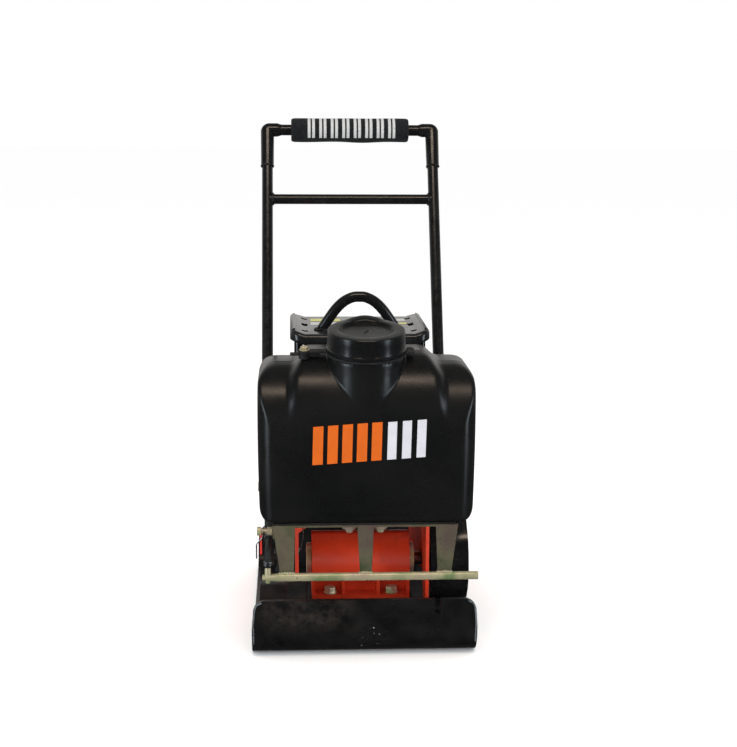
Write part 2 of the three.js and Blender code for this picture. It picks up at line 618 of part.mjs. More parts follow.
// ---------------------------------------------------------------- engine
function makeEngine() {
  const foot = DECK_TOP + GAP;
  const caseFront = CRANK_Y - 73;
  const caseBack = CRANK_Y + 70;
  const caseTop = CRANK_Z + 68;
  const caseShape = outline([
    [caseFront, foot],
    [caseBack + 12, foot],
    [caseBack + 12, foot + 14],
    [caseBack, foot + 18],
    [caseBack, caseTop, 30],
    [CRANK_Y - 20, caseTop],
    [caseFront, CRANK_Z],
  ]);
  const crankAt = (x) => V(x, CRANK_Y, CRANK_Z);
  const bore = rod(crankAt(-CASE_HALF - 1), crankAt(CASE_HALF + 9), CRANK_RADIUS + GAP, 20);
  const nose = rod(crankAt(CASE_HALF - 1), crankAt(CASE_HALF + 8), 46, 20);

  // the inclined cylinder, in a frame whose +Z runs out along the bore from the crank
  const barrelFrame = leaning(0, CRANK_Y, CRANK_Z, CYLINDER_LEAN);
  const seat = 62;
  const finned = { from: seat + GAP, to: seat + 56, half: 33, fin: 43 };
  const clear = solid(box([-50, 50], [-60, 60], [seat, 200]), barrelFrame.matrix);
  add(
    "engine_crankcase",
    cut(join(solid(alongX(caseShape, -CASE_HALF, CASE_HALF)), solid(nose)), solid(bore), clear),
    CAST_ALLOY,
  );
  let cylinder = solid(box([-finned.half, finned.half], [-finned.half, finned.half], [finned.from, finned.to]));
  for (let z = finned.from + 6; z < finned.to - 3; z += 9) {
    cylinder = cylinder.add(solid(box([-finned.fin, finned.fin], [-finned.fin + 4, finned.fin - 4], [z, z + 3])));
  }
  add("engine_cylinder", cylinder, CAST_ALLOY, barrelFrame);
  const headTop = finned.to + 22;
  const head = box([-40, 40], [-36, 36], [finned.to + GAP, headTop]);
  const cover = alongZ(outline(rectangle([-34, 34], [-27, 27], 10)), headTop - 1, headTop + 15);
  add("cylinder_head", join(solid(head), solid(cover)), CAST_ALLOY, barrelFrame);
  const plugZ = finned.to + 11;
  const plug = join(
    solid(rod(V(-20, 36 + GAP, plugZ), V(-20, 46, plugZ), 5, 12)),
    solid(rod(V(-20, 44, plugZ), V(-20, 62, plugZ), 8, 12)),
  );
  add("spark_plug", plug, DARK_PLASTIC, barrelFrame);

  // crankshaft, flywheel and the fan shroud round it
  const shaftEnd = BELT_X + PULLEY_WIDTH / 2 + 2;
  add("crankshaft", solid(rod(crankAt(-SHROUD.outer + 8), crankAt(shaftEnd), CRANK_RADIUS, 20)), BARE_STEEL);
  const flywheelRadius = SHROUD.radius - 8;
  const flywheel = ring(CRANK_RADIUS + GAP, flywheelRadius, 24, crankAt(-SHROUD.outer + 10), V(1, 0, 0), 24);
  add("flywheel", solid(flywheel), CAST_ALLOY);
  const shroudDepth = SHROUD.outer - CASE_HALF - GAP;
  const shroudProfile = [
    [40, 0],
    [SHROUD.radius, 0],
    [SHROUD.radius, shroudDepth],
    [SHROUD.radius - 3, shroudDepth],
    [SHROUD.radius - 3, 3],
    [40, 3],
    [40, 0],
  ];
  add("fan_shroud", solid(turned(shroudProfile, crankAt(-SHROUD.outer), V(1, 0, 0), 24)), GLOSS_BLACK);
  const starter = turned(
    [[0, -26], [44, -26], [56, -12], [56, 0], [0, 0]],
    crankAt(-SHROUD.outer - GAP),
    V(1, 0, 0),
    24,
  );
  add("recoil_starter", solid(starter), GLOSS_BLACK);

  // the pull grip rests on the starter's upper front rim
  const gripX = -SHROUD.outer - GAP - 26 - GAP;
  const gripAt = V(gripX, CRANK_Y - 24, CRANK_Z + 18);
  const stem = rod(gripAt, V(gripX - 8, gripAt.y, gripAt.z), 5, 12);
  const bar = rod(V(gripX - 12, gripAt.y - 20, gripAt.z), V(gripX - 12, gripAt.y + 20, gripAt.z), 6, 12);
  add("recoil_grip", join(solid(stem), solid(bar)), DARK_PLASTIC);

  // on top: fuel tank behind, muffler and air cleaner in front
  const fuelShell = (inset) =>
    solid(
      alongZ(
        outline(
          rectangle(
            [-FUEL_TANK.half + inset, FUEL_TANK.half - inset],
            [FUEL_TANK.front + inset, FUEL_TANK.back - inset],
            24 - inset,
          ),
        ),
        FUEL_TANK.bottom + inset,
        FUEL_TANK.top - inset,
      ),
    );
  const filler = V(-30, (FUEL_TANK.front + FUEL_TANK.back) / 2, FUEL_TANK.top);
  const mouth = rod(V(filler.x, filler.y, filler.z - 10), V(filler.x, filler.y, filler.z + 1), 18, 24);
  const fuelTank = cut(fuelShell(0), fuelShell(2.5), solid(mouth));
  const strut = (x, y) => solid(box([x - 8, x + 8], [y - 6, y + 6], [caseTop - 30, FUEL_TANK.bottom + 1]));
  const struts = join(strut(-40, FUEL_TANK.front + 30), strut(40, FUEL_TANK.front + 30));
  const caseSolid = solid(alongX(caseShape, -CASE_HALF - GAP, CASE_HALF + GAP)).add(
    solid(box([-CASE_HALF, CASE_HALF], [CRANK_Y - 20, caseBack], [caseTop - 1, caseTop + GAP])),
  );
  add("fuel_tank", fuelTank.add(cut(struts, caseSolid)), GLOSS_BLACK);
  const capProfile = [[0, 0], [22, 0], [23, 4], [22, 11], [0, 13]];
  add("fuel_cap", solid(turned(capProfile, V(filler.x, filler.y, filler.z + GAP), V(0, 0, 1), 24)), DARK_PLASTIC);

  const frontSpan = [-46, FUEL_TANK.front - 8];
  const muffler = alongX(outline(rectangle(frontSpan, [402, 462], 18)), 8, 92);
  const outlet = rod(V(70, frontSpan[0] + 20, 430), V(101, frontSpan[0] + 20, 430), 8, 16);
  const pipe = rod(V(30, 10, 380), V(30, 10, 410), 9, 16);
  const tailBore = rod(V(80, frontSpan[0] + 20, 430), V(102, frontSpan[0] + 20, 430), 6, 12);
  add("muffler", cut(join(solid(muffler), solid(outlet), solid(pipe)), solid(tailBore)), CAST_ALLOY);
  const cleaner = alongZ(outline(rectangle([-94, -8], frontSpan, 20)), 400, 470);
  add("air_cleaner", solid(cleaner), DARK_PLASTIC);
  const carburettor = join(
    solid(box([-88, -54], [-24, 14], [352, 386])),
    solid(rod(V(-71, -5, 385), V(-71, -5, 400 - GAP), 12, 16)),
    solid(rod(V(-71, -5, 336), V(-71, -5, 353), 14, 16)),
  );
  add("carburettor", carburettor, CAST_ALLOY);

  // small controls, each on its own pivot along X
  const lever = (pivot, reach, drop) => {
    const hub = rod(pivot, V(pivot.x - 5, pivot.y, pivot.z), 6, 16);
    const armX = pivot.x - 4.5;
    const arm = rod(V(armX, pivot.y, pivot.z), V(armX, pivot.y + reach, pivot.z + drop), 2, 8);
    const tip = new THREE.SphereGeometry(4, 10, 6).translate(armX, pivot.y + reach, pivot.z + drop);
    return join(solid(hub), solid(arm), solid(tip));
  };
  add("choke_lever", lever(V(-88 - GAP, -12, 376), -26, 10), DARK_PLASTIC);
  add("fuel_valve_lever", lever(V(-88 - GAP, 2, 362), -24, -10), DARK_PLASTIC);
  add("throttle_lever", lever(V(-SHROUD.outer - GAP, CRANK_Y - 52, CRANK_Z + 44), -18, 26), RED_GRIP);
  const switchAt = V(-SHROUD.outer - GAP, CRANK_Y - 66, CRANK_Z + 8);
  const knob = join(
    solid(rod(switchAt, V(switchAt.x - 5, switchAt.y, switchAt.z), 7, 16)),
    solid(box([switchAt.x - 11, switchAt.x - 4], [switchAt.y - 2.5, switchAt.y + 2.5], [switchAt.z - 6, switchAt.z + 6])),
  );
  add("stop_switch", knob, RED_GRIP);
  const dipstick = join(
    solid(rod(V(30, caseBack + GAP, foot + 34), V(30, caseBack + 10, foot + 34), 10, 16)),
    solid(box([20, 40], [caseBack + 9, caseBack + 15], [foot + 32, foot + 36])),
  );
  add("oil_dipstick", dipstick, DARK_PLASTIC);
}

// ---------------------------------------------------------------- guard over the engine
function makeTopGuard() {
  const { half, front, back, top, fold, rise, skirt, corner } = TRAY;
  const sheet = 3;
  const section = (drop, floor) =>
    outline([
      [-half - 1, floor],
      [half + 1, floor],
      [half + 1, top + rise - drop],
      [fold, top - drop],
      [-fold, top - drop],
      [-half - 1, top + rise - drop],
    ]);
  const plan = (inset) =>
    outline(rectangle([-half + inset, half - inset], [front + inset, back - inset], corner - inset));
  const outside = solid(alongZ(plan(0), top - skirt, top + 30)).intersect(
    solid(alongY(section(0, top - skirt - 1), front - 1, back + 1)),
  );
  const inside = solid(alongZ(plan(sheet), top - skirt - 5, top + 30)).intersect(
    solid(alongY(section(sheet, top - skirt - 6), front - 1, back + 1)),
  );
  let tray = cut(outside, inside);
  const middle = (front + back) / 2;
  const slots = [[middle - 78, 5], [middle, 14], [middle + 78, 5]];
  for (const [, sign] of SIDES) {
    for (const [y, reach] of slots) {
      const slot = box(mirrored(sign, fold - 5, fold + 3), [y - reach, y + reach], [top - 8, top + 8]);
      tray = cut(tray, solid(slot));
    }
  }
  add("guard_tray", tray, GLOSS_BLACK);

  // four legs with rails between them, just under the tray
  const { x: legX, front: legFront, back: legBack, radius } = GUARD_LEG;
  const post = (x, y) => rod(V(x, y, DECK_TOP + GAP), V(x, y, top - sheet - GAP), radius, 12);
  const posts = [[-legX, legFront], [legX, legFront], [-legX, legBack], [legX, legBack]];
  const rails = [
    [V(-legX, legFront, RAIL_Z), V(legX, legFront, RAIL_Z)],
    [V(-legX, legBack, RAIL_Z), V(legX, legBack, RAIL_Z)],
    [V(-legX, legFront, RAIL_Z), V(-legX, legBack, RAIL_Z)],
    [V(legX, legFront, RAIL_Z), V(legX, legBack, RAIL_Z)],
  ];
  const frame = join(
    ...posts.map(([x, y]) => solid(post(x, y))),
    ...rails.map(([a, b]) => solid(rod(a, b, radius - 1, 10))),
  );
  add("guard_frame", frame, GLOSS_BLACK);

  // the lifting arch, a round bar bowed between two feet on the tray
  const rows = [[-1, 0], [-0.81, 0.32], [-0.62, 0.62], [-0.41, 0.85], [-0.18, 0.98]];
  const points = [...rows, [0, 1], ...rows.map(([a, h]) => [-a, h]).reverse()];
  const curve = new THREE.CatmullRomCurve3(
    points.map(([a, h]) => V(a * ARCH.half, ARCH.y, top + h * ARCH.height)),
  );
  const bow = solid(swept(curve.getSpacedPoints(20), ARCH.radius, 12));
  const below = solid(box([-half, half], [front, back], [top - 40, top + GAP]));
  const foot = (x) => solid(rod(V(x, ARCH.y, top + GAP), V(x, ARCH.y, top + 5), ARCH.radius + 3, 12, ARCH.radius));
  add("lifting_arch", join(cut(bow, below), foot(-ARCH.half), foot(ARCH.half)), GLOSS_BLACK);
}

// ---------------------------------------------------------------- handle
function makeHandle() {
  const sleeveStart = HANDLE_LENGTH - SLEEVE.length;
  const tubeEnd = HANDLE_LENGTH - 36;
  let frame = solid(rod(V(-HANDLE_HALF, 0, CROSSBAR_UP), V(HANDLE_HALF, 0, CROSSBAR_UP), HANDLE_TUBE - 1, 12));
  let bow = solid(rod(V(-HANDLE_HALF + 30, 0, HANDLE_LENGTH), V(HANDLE_HALF - 30, 0, HANDLE_LENGTH), HANDLE_TUBE, 16));
  for (const [name, sign] of SIDES) {
    const x = sign * HANDLE_HALF;
    const upright = rod(V(x, 0, 0), V(x, 0, tubeEnd), HANDLE_TUBE, 16);
    const boss = rod(V(x - HANDLE_TUBE, 0, 0), V(x + HANDLE_TUBE, 0, 0), HANDLE_TUBE + 3, 16);
    const eye = rod(V(x - 20, 0, 0), V(x + 20, 0, 0), PIVOT_BOLT + GAP, 12);
    frame = cut(join(frame, solid(upright), solid(boss)), solid(eye));
    const route = [V(x, 0, sleeveStart), V(x, 0, HANDLE_LENGTH), V(x - sign * 36, 0, HANDLE_LENGTH)];
    const socket = rod(V(x, 0, sleeveStart - 1), V(x, 0, tubeEnd + 1), HANDLE_TUBE + GAP, 16);
    bow = cut(bow.add(solid(swept(bent(route, 24, 5), SLEEVE.radius, 12))), solid(socket));

    // bolt through the deck's ear and the tube's eye, and the rubber stop behind the tube
    const inner = sign * (BRACKET.inner - 9);
    const outer = sign * (HANDLE_HALF + HANDLE_TUBE + 7);
    const bolt = join(
      solid(rod(V(inner, 0, 0), V(outer, 0, 0), PIVOT_BOLT, 16)),
      solid(rod(V(inner, 0, 0), V(sign * (BRACKET.inner - 1), 0, 0), 10, 6)),
      solid(rod(V(sign * (HANDLE_HALF + HANDLE_TUBE + 1), 0, 0), V(outer, 0, 0), 10, 6)),
    );
    add(`handle_pivot_${name}`, bolt, YELLOW_ZINC, HANDLE_FRAME);
    const stop = rod(V(x, HANDLE_TUBE + GAP, 37), V(x, HANDLE_TUBE + 6 - GAP, 37), 7, 16);
    add(`handle_stop_${name}`, solid(stop), RUBBER, HANDLE_FRAME);
  }
  add("handle_frame", frame, GLOSS_BLACK, HANDLE_FRAME);
  add("handle_bow", bow, GLOSS_BLACK, HANDLE_FRAME);
  const pad = ring(
    HANDLE_TUBE + GAP,
    PAD.radius,
    2 * PAD.half,
    V(-PAD.half, 0, HANDLE_LENGTH),
    V(1, 0, 0),
    20,
  );
  add("grip_pad", solid(pad), RUBBER, HANDLE_FRAME);
}

// ---------------------------------------------------------------- water tank
const NECK_FRAME = leaning(NECK.x, NECK.y, NECK.z, NECK_LEAN);

// The tank's body, with every wall moved in by the inset: low shoulders and a higher middle.
function tankBody(inset) {
  const front = TANK.front + inset;
  const back = TANK.back - inset;
  const bottom = TANK.bottom + inset;
  const flank = (top) =>
    outline([
      [front, bottom, 14],
      [back, bottom, 14],
      [back, top, 30 - inset],
      [front, top, TANK_ROUND - inset],
    ]);
  const half = TANK.half - inset;
  const face = outline([
    [-half, bottom, 25],
    [half, bottom, 25],
    [half, TANK.shoulder - inset, 35],
    [-half, TANK.shoulder - inset, 35],
  ]);
  const plan = outline(rectangle([-half, half], [front, back], 34));
  const wide = solid(alongX(flank(TANK.shoulder - inset), -half, half, 7))
    .intersect(solid(alongY(face, front - 1, back + 1, 4)))
    .intersect(solid(alongZ(plan, bottom - 1, TANK.top, 4)));
  const core = outline([
    [-TANK_CORE.foot + inset, bottom + 20],
    [TANK_CORE.foot - inset, bottom + 20],
    [TANK_CORE.foot - inset, TANK.shoulder - inset - 1],
    [TANK_CORE.crown - inset / 2, TANK.top - inset],
    [-TANK_CORE.crown + inset / 2, TANK.top - inset],
    [-TANK_CORE.foot + inset, TANK.shoulder - inset - 1],
  ]);
  const tall = solid(alongX(flank(TANK.top - inset), -half, half, 7)).intersect(
    solid(alongY(core, front - 1, back + 1)),
  );
  return wide.add(tall);
}

function makeTank() {
  const collarTop = -4;
  const spoutTop = CAP.height - 12;
  const spout = CAP.inner - 2;
  const upright = (radius, top) => solid(rod(V(NECK.x, NECK.y, TANK.shoulder - 80), V(NECK.x, NECK.y, top), radius, 28));
  const onNeck = (from, to, radius) => solid(rod(V(0, 0, from), V(0, 0, to), radius, 28), NECK_FRAME.matrix);
  const outside = join(
    tankBody(0),
    upright(NECK.radius - 3, NECK.z - 17),
    onNeck(-26, collarTop, NECK.radius),
    onNeck(-26, spoutTop, spout),
  );
  const inside = join(tankBody(TANK.wall), upright(NECK.bore, NECK.z - 17), onNeck(-26, spoutTop + 1, NECK.bore));
  add("water_tank", cut(outside, inside), TANK_BLACK);

  const { top, rim, height, inner, recess } = CAP;
  const capProfile = [
    [0, height - 10],
    [inner, height - 10],
    [inner, 0],
    [rim, 0],
    [rim - 1, 7],
    [top + 0.5, height - 3],
    [top - 1.5, height],
    [recess + 4, height],
    [recess, height - 5],
    [0, height - 5],
  ];
  add("tank_cap", solid(turned(capProfile, V(0, 0, 0), V(0, 0, 1), 28)), TANK_BLACK, NECK_FRAME);

  // tether: a ring under the cap with a pull tab on one side and a strap with an eye on the other
  const tetherTop = -GAP;
  const tetherBottom = collarTop + GAP;
  const strapEnd = -100 - NECK.x;
  const tether = join(
    solid(alongZ(disc(0, 0, rim + 1), tetherBottom, tetherTop, 24)),
    solid(alongZ(outline(rectangle([rim - 10, rim + 13], [-16, 16], 9)), tetherBottom, tetherTop)),
    solid(alongZ(outline(rectangle([strapEnd, -rim + 5], [-7, 7])), tetherBottom, tetherTop)),
    solid(alongZ(disc(strapEnd, 0, 11), tetherBottom, tetherTop, 12)),
  );
  const spoutHole = solid(alongZ(disc(0, 0, spout + GAP), tetherBottom - 1, tetherTop + 1, 28));
  const eye = solid(alongZ(disc(strapEnd, 0, 3.5), tetherBottom - 1, tetherTop + 1, 12));
  add("cap_tether", cut(tether, spoutHole, eye), RUBBER, NECK_FRAME);
}

// ---------------------------------------------------------------- tank bracket and spray bar
function makeWaterLine() {
  const sheetTop = TANK.bottom - 3;
  const sheetBottom = sheetTop - BRACKET_SHEET;
  const edge = TANK.front - 2;
  const outletHole = rod(V(VALVE.x, VALVE.y + 24, sheetBottom - 1), V(VALVE.x, VALVE.y + 24, sheetTop + 1), 14, 16);
  const legFrame = new THREE.Matrix4()
    .makeTranslation(0, edge, sheetTop)
    .multiply(new THREE.Matrix4().makeRotationX(-LEG_TILT));
  const legLength = (sheetTop - SPRAY.z - SPRAY.radius - 0.8) / Math.cos(LEG_TILT);
  const legs = [
    [[-BRACKET_HALF, -117], [-142, -119]],
    [[-13.5, 13.5], [-10, 10]],
    [[117, BRACKET_HALF], [119, 142]],
  ];
  let bracket = solid(box([-BRACKET_HALF, BRACKET_HALF], [edge, TANK.back + 5], [sheetBottom, sheetTop]));
  for (const [above, below] of legs) {
    const leg = outline([
      [below[0], -legLength],
      [below[1], -legLength],
      [above[1], 0],
      [above[0], 0],
    ]);
    bracket = bracket.add(solid(alongY(leg, 0, BRACKET_SHEET), legFrame));
  }
  const tab = box(
    [-BRACKET_HALF, -BRACKET_HALF + BRACKET_SHEET],
    [PIN.y - 12, PIN.y + 12],
    [PIN.z - 10, sheetTop - 1],
  );
  const pinHole = rod(V(-BRACKET_HALF - 1, PIN.y, PIN.z), V(-BRACKET_HALF + 5, PIN.y, PIN.z), PIN.radius + GAP, 12);
  bracket = cut(bracket.add(solid(tab)), solid(pinHole), solid(outletHole));
  add("tank_bracket", bracket, YELLOW_ZINC);

  // spray bar: a closed-ended tube fed through a socket in its upper side near the left end
  const hoseX = VALVE.x - 2;
  const bar = rod(V(SPRAY.left, SPRAY.y, SPRAY.z), V(SPRAY.right, SPRAY.y, SPRAY.z), SPRAY.radius, 16);
  const bore = rod(V(SPRAY.left + 3, SPRAY.y, SPRAY.z), V(SPRAY.right - 3, SPRAY.y, SPRAY.z), SPRAY.radius - 2, 12);
  const barbTop = SPRAY.z + 17;
  const barb = rod(V(hoseX, SPRAY.y, SPRAY.z), V(hoseX, SPRAY.y, barbTop), HOSE_RADIUS - 0.5, 16);
  const feed = rod(V(hoseX, SPRAY.y, SPRAY.z), V(hoseX, SPRAY.y, barbTop + 1), 2.5, 12);
  add("spray_bar", cut(join(solid(bar), solid(barb)), solid(bore), solid(feed)), YELLOW_ZINC);

  // ball valve under the tank's left edge: an elbow down from the tank, then forward to the hose
  const { x, y, z, radius } = VALVE;
  const valve = join(
    solid(rod(V(x, y - 27, z), V(x, y + 24, z), radius, 16)),
    solid(rod(V(x, y + 24, z - radius), V(x, y + 24, TANK.bottom - GAP), radius, 16)),
    solid(new THREE.SphereGeometry(radius + 2, 12, 8).translate(x, y, z)),
  );
  const passage = join(
    solid(rod(V(x, y - 28, z), V(x, y + 24, z), 4, 12)),
    solid(rod(V(x, y + 24, z - 2), V(x, y + 24, TANK.bottom + 1), 4, 12)),
  );
  add("water_valve", cut(valve, passage), DARK_PLASTIC);
  const leverNear = x - radius - 2 - GAP;
  const lever = join(
    solid(rod(V(leverNear, y, z), V(leverNear - 3, y, z), 5, 16)),
    solid(alongX(outline(rectangle([y - 6, y + 6], [z - 33, z + 6], 3)), leverNear - 5, leverNear - 2)),
  );
  add("water_valve_lever", lever, RED_GRIP);

  // hose from the valve, forward and down to the barb
  const hoseRoute = [
    V(x, y - 27 - GAP, z),
    V(x - 1, SPRAY.y + 30, z),
    V(hoseX, SPRAY.y, z - 8),
    V(hoseX, SPRAY.y, barbTop + GAP),
  ];
  add("water_hose", solid(swept(bent(hoseRoute, 22, 5), HOSE_RADIUS, 10)), RUBBER);

  // pin through the bracket's side tab, with its nut and outer knob, and the wire hairpin hung on it
  const pinAt = (px) => V(px, PIN.y, PIN.z);
  const pin = join(
    solid(rod(pinAt(-180), pinAt(-BRACKET_HALF + 12), PIN.radius, 16)),
    solid(rod(pinAt(-180), pinAt(-173), 7.5, 16)),
    solid(rod(pinAt(-BRACKET_HALF - 9), pinAt(-BRACKET_HALF - GAP), 7.5, 6)),
  );
  add("retaining_pin", pin, YELLOW_ZINC);
  const wire = 1.2;
  const eyeRadius = PIN.radius + wire + 0.5;
  const wireX = (-173 - BRACKET_HALF - 9) / 2;
  const eyeStations = Array.from({ length: 10 }, (_, i) => {
    const angle = (-40 + 30 * i) * DEG;
    return V(wireX, PIN.y + eyeRadius * Math.cos(angle), PIN.z + eyeRadius * Math.sin(angle));
  });
  const tail = [
    V(wireX - 3, PIN.y - 2, PIN.z - 9),
    V(wireX - 13, PIN.y, PIN.z - 22),
    V(wireX - 13, PIN.y, PIN.z - 47),
  ];
  add("hairpin", solid(swept([...eyeStations, ...tail], wire, 8)), BARE_STEEL);
}

makeBase();
makeExciter();
makeDrive();
makeDeck();
makeEngine();
makeTopGuard();
makeHandle();
makeTank();
makeWaterLine();

export default compactor;
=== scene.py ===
"""How the plate compactor looks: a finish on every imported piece, and finer pieces where the eye lands."""

import json
import math
import random

import bmesh
import bpy
import numpy as np
from mathutils import Matrix, Quaternion, Vector


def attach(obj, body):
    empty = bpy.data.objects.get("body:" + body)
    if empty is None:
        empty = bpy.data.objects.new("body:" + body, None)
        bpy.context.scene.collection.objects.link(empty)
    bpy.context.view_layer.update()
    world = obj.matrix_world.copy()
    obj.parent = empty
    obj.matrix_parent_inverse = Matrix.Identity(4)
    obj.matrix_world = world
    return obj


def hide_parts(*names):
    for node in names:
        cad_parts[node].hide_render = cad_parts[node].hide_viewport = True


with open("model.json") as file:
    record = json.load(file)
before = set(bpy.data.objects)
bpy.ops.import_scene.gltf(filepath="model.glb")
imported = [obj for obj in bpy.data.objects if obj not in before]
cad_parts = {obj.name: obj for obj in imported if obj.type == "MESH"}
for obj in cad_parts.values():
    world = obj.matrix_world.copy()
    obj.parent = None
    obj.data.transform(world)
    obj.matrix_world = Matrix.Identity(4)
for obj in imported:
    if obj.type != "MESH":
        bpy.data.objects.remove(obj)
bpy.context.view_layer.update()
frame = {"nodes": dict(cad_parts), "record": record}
nodes = frame["nodes"]
scene = bpy.context.scene

MM = 0.001

# ---------------------------------------------------------------- camera
CAMERA_AT = Vector((-0.1198, -2.6005, 0.8993))
CAMERA_AIM = Vector((0.0175, 0.0, 0.440))
CAMERA_ROLL = math.radians(0.27)
CAMERA_LENS = 70.4


def make_camera():
    data = bpy.data.cameras.new("camera")
    data.lens = CAMERA_LENS
    data.sensor_width = 36
    data.clip_end = 100
    camera = bpy.data.objects.new("camera", data)
    facing = (CAMERA_AIM - CAMERA_AT).to_track_quat("-Z", "Y")
    rolled = facing @ Quaternion((0, 0, 1), CAMERA_ROLL)
    camera.matrix_world = Matrix.Translation(CAMERA_AT) @ rolled.to_matrix().to_4x4()
    scene.collection.objects.link(camera)
    scene.camera = camera


make_camera()

# ---------------------------------------------------------------- finishes


class Finish:
    """One material built from nodes, its pattern fixed to the piece it is on."""

    def __init__(self, name, roughness=0.5, metallic=0.0, specular=0.5):
        self.material = bpy.data.materials.new(name)
        self.material.use_nodes = True
        self.tree = self.material.node_tree
        self.shader = self.tree.nodes["Principled BSDF"]
        self.set("Metallic", metallic)
        self.set("Roughness", roughness)
        self.set("Specular IOR Level", specular)
        self.place = self.node("ShaderNodeTexCoord").outputs["Object"]

    def node(self, kind, **settings):
        made = self.tree.nodes.new(kind)
        for key, value in settings.items():
            setattr(made, key, value)
        return made

    def feed(self, socket, value):
        if isinstance(value, bpy.types.NodeSocket):
            self.tree.links.new(value, socket)
        else:
            socket.default_value = value

    def set(self, name, value):
        self.feed(self.shader.inputs[name], value)

    def stretched(self, scale, turn=(0, 0, 0)):
        mapping = self.node("ShaderNodeMapping")
        self.feed(mapping.inputs["Vector"], self.place)
        mapping.inputs["Scale"].default_value = scale
        mapping.inputs["Rotation"].default_value = turn
        return mapping.outputs["Vector"]

    def noise(self, scale, detail=3, roughness=0.55, distortion=0.0, place=None):
        made = self.node("ShaderNodeTexNoise")
        self.feed(made.inputs["Vector"], place or self.place)
        made.inputs["Scale"].default_value = scale
        made.inputs["Detail"].default_value = detail
        made.inputs["Roughness"].default_value = roughness
        made.inputs["Distortion"].default_value = distortion
        return made.outputs["Fac"]

    def cells(self, scale):
        made = self.node("ShaderNodeTexVoronoi")
        self.feed(made.inputs["Vector"], self.place)
        made.inputs["Scale"].default_value = scale
        return made.outputs["Distance"]

    def span(self, value, low, high, to_low=0.0, to_high=1.0):
        made = self.node("ShaderNodeMapRange")
        settings = {"Value": value, "From Min": low, "From Max": high, "To Min": to_low, "To Max": to_high}
        for key, amount in settings.items():
            self.feed(made.inputs[key], amount)
        return made.outputs["Result"]

    def math(self, operation, first, second=0.0):
        made = self.node("ShaderNodeMath", operation=operation)
        self.feed(made.inputs[0], first)
        self.feed(made.inputs[1], second)
        return made.outputs[0]

    def times(self, first, second):
        return self.math("MULTIPLY", first, second)

    def axes(self, place=None):
        made = self.node("ShaderNodeSeparateXYZ")
        self.feed(made.inputs[0], place or self.place)
        return made.outputs

    def within(self, value, low, high, soft):
        """1 where the value lies between low and high, fading over soft."""
        rising = self.span(value, low - soft, low + soft)
        falling = self.span(value, high - soft, high + soft, 1.0, 0.0)
        return self.times(rising, falling)

    def blend(self, factor, first, second):
        made = self.node("ShaderNodeMix", data_type="RGBA")
        self.feed(made.inputs[0], factor)
        for socket, colour in ((made.inputs[6], first), (made.inputs[7], second)):
            self.feed(socket, (*colour, 1) if isinstance(colour, tuple) else colour)
        return made.outputs[2]

    def mottle(self, scale, detail, dark, light):
        """A colour that wanders between two."""
        return self.blend(self.span(self.noise(scale, detail=detail), 0.35, 0.7), dark, light)

    def wander(self, scale, detail, low, high):
        """A value that wanders between two."""
        return self.span(self.noise(scale, detail=detail), 0.3, 0.7, low, high)

    def bump(self, height, distance, strength=1.0, over=None):
        made = self.node("ShaderNodeBump")
        self.feed(made.inputs["Height"], height)
        made.inputs["Distance"].default_value = distance
        made.inputs["Strength"].default_value = strength
        if over is not None:
            self.feed(made.inputs["Normal"], over)
        self.set("Normal", made.outputs["Normal"])
        return made.outputs["Normal"]


def grained(name, dark, light, rough, patch=30, grain=900, depth=0.05, metallic=0.0, specular=0.5):
    """A finish that wanders between two colours and two roughnesses, with a fine grain. depth is in mm."""
    made = Finish(name, metallic=metallic, specular=specular)
    made.set("Base Color", made.mottle(patch, 5, dark, light))
    made.set("Roughness", made.wander(patch * 3.1, 4, *rough))
    made.bump(made.noise(grain, detail=2), depth * MM)
    return made


def powder_black():
    dark = (0.0038, 0.0038, 0.0042)
    light = (0.0075, 0.0075, 0.0080)
    made = grained("gloss_black", dark, light, (0.16, 0.30), grain=520, depth=0.015)
    made.set("Coat Weight", 0.25)
    made.set("Coat Roughness", 0.12)
    return made.material


def tray_black():
    dark = (0.008, 0.0085, 0.009)
    light = (0.016, 0.017, 0.018)
    return grained("tray_black", dark, light, (0.17, 0.25), grain=650, depth=0.02).material


def tank_black():
    made = Finish("tank_black", specular=0.36)
    made.set("Base Color", made.mottle(9, 4, (0.0032, 0.0034, 0.0037), (0.0058, 0.0058, 0.0058)))
    made.set("Roughness", made.wander(22, 5, 0.24, 0.34))
    waves = made.bump(made.noise(14, detail=2), 0.35 * MM, 0.6)
    made.bump(made.noise(1300, detail=2), 0.03 * MM, 0.8, over=waves)
    return made.material


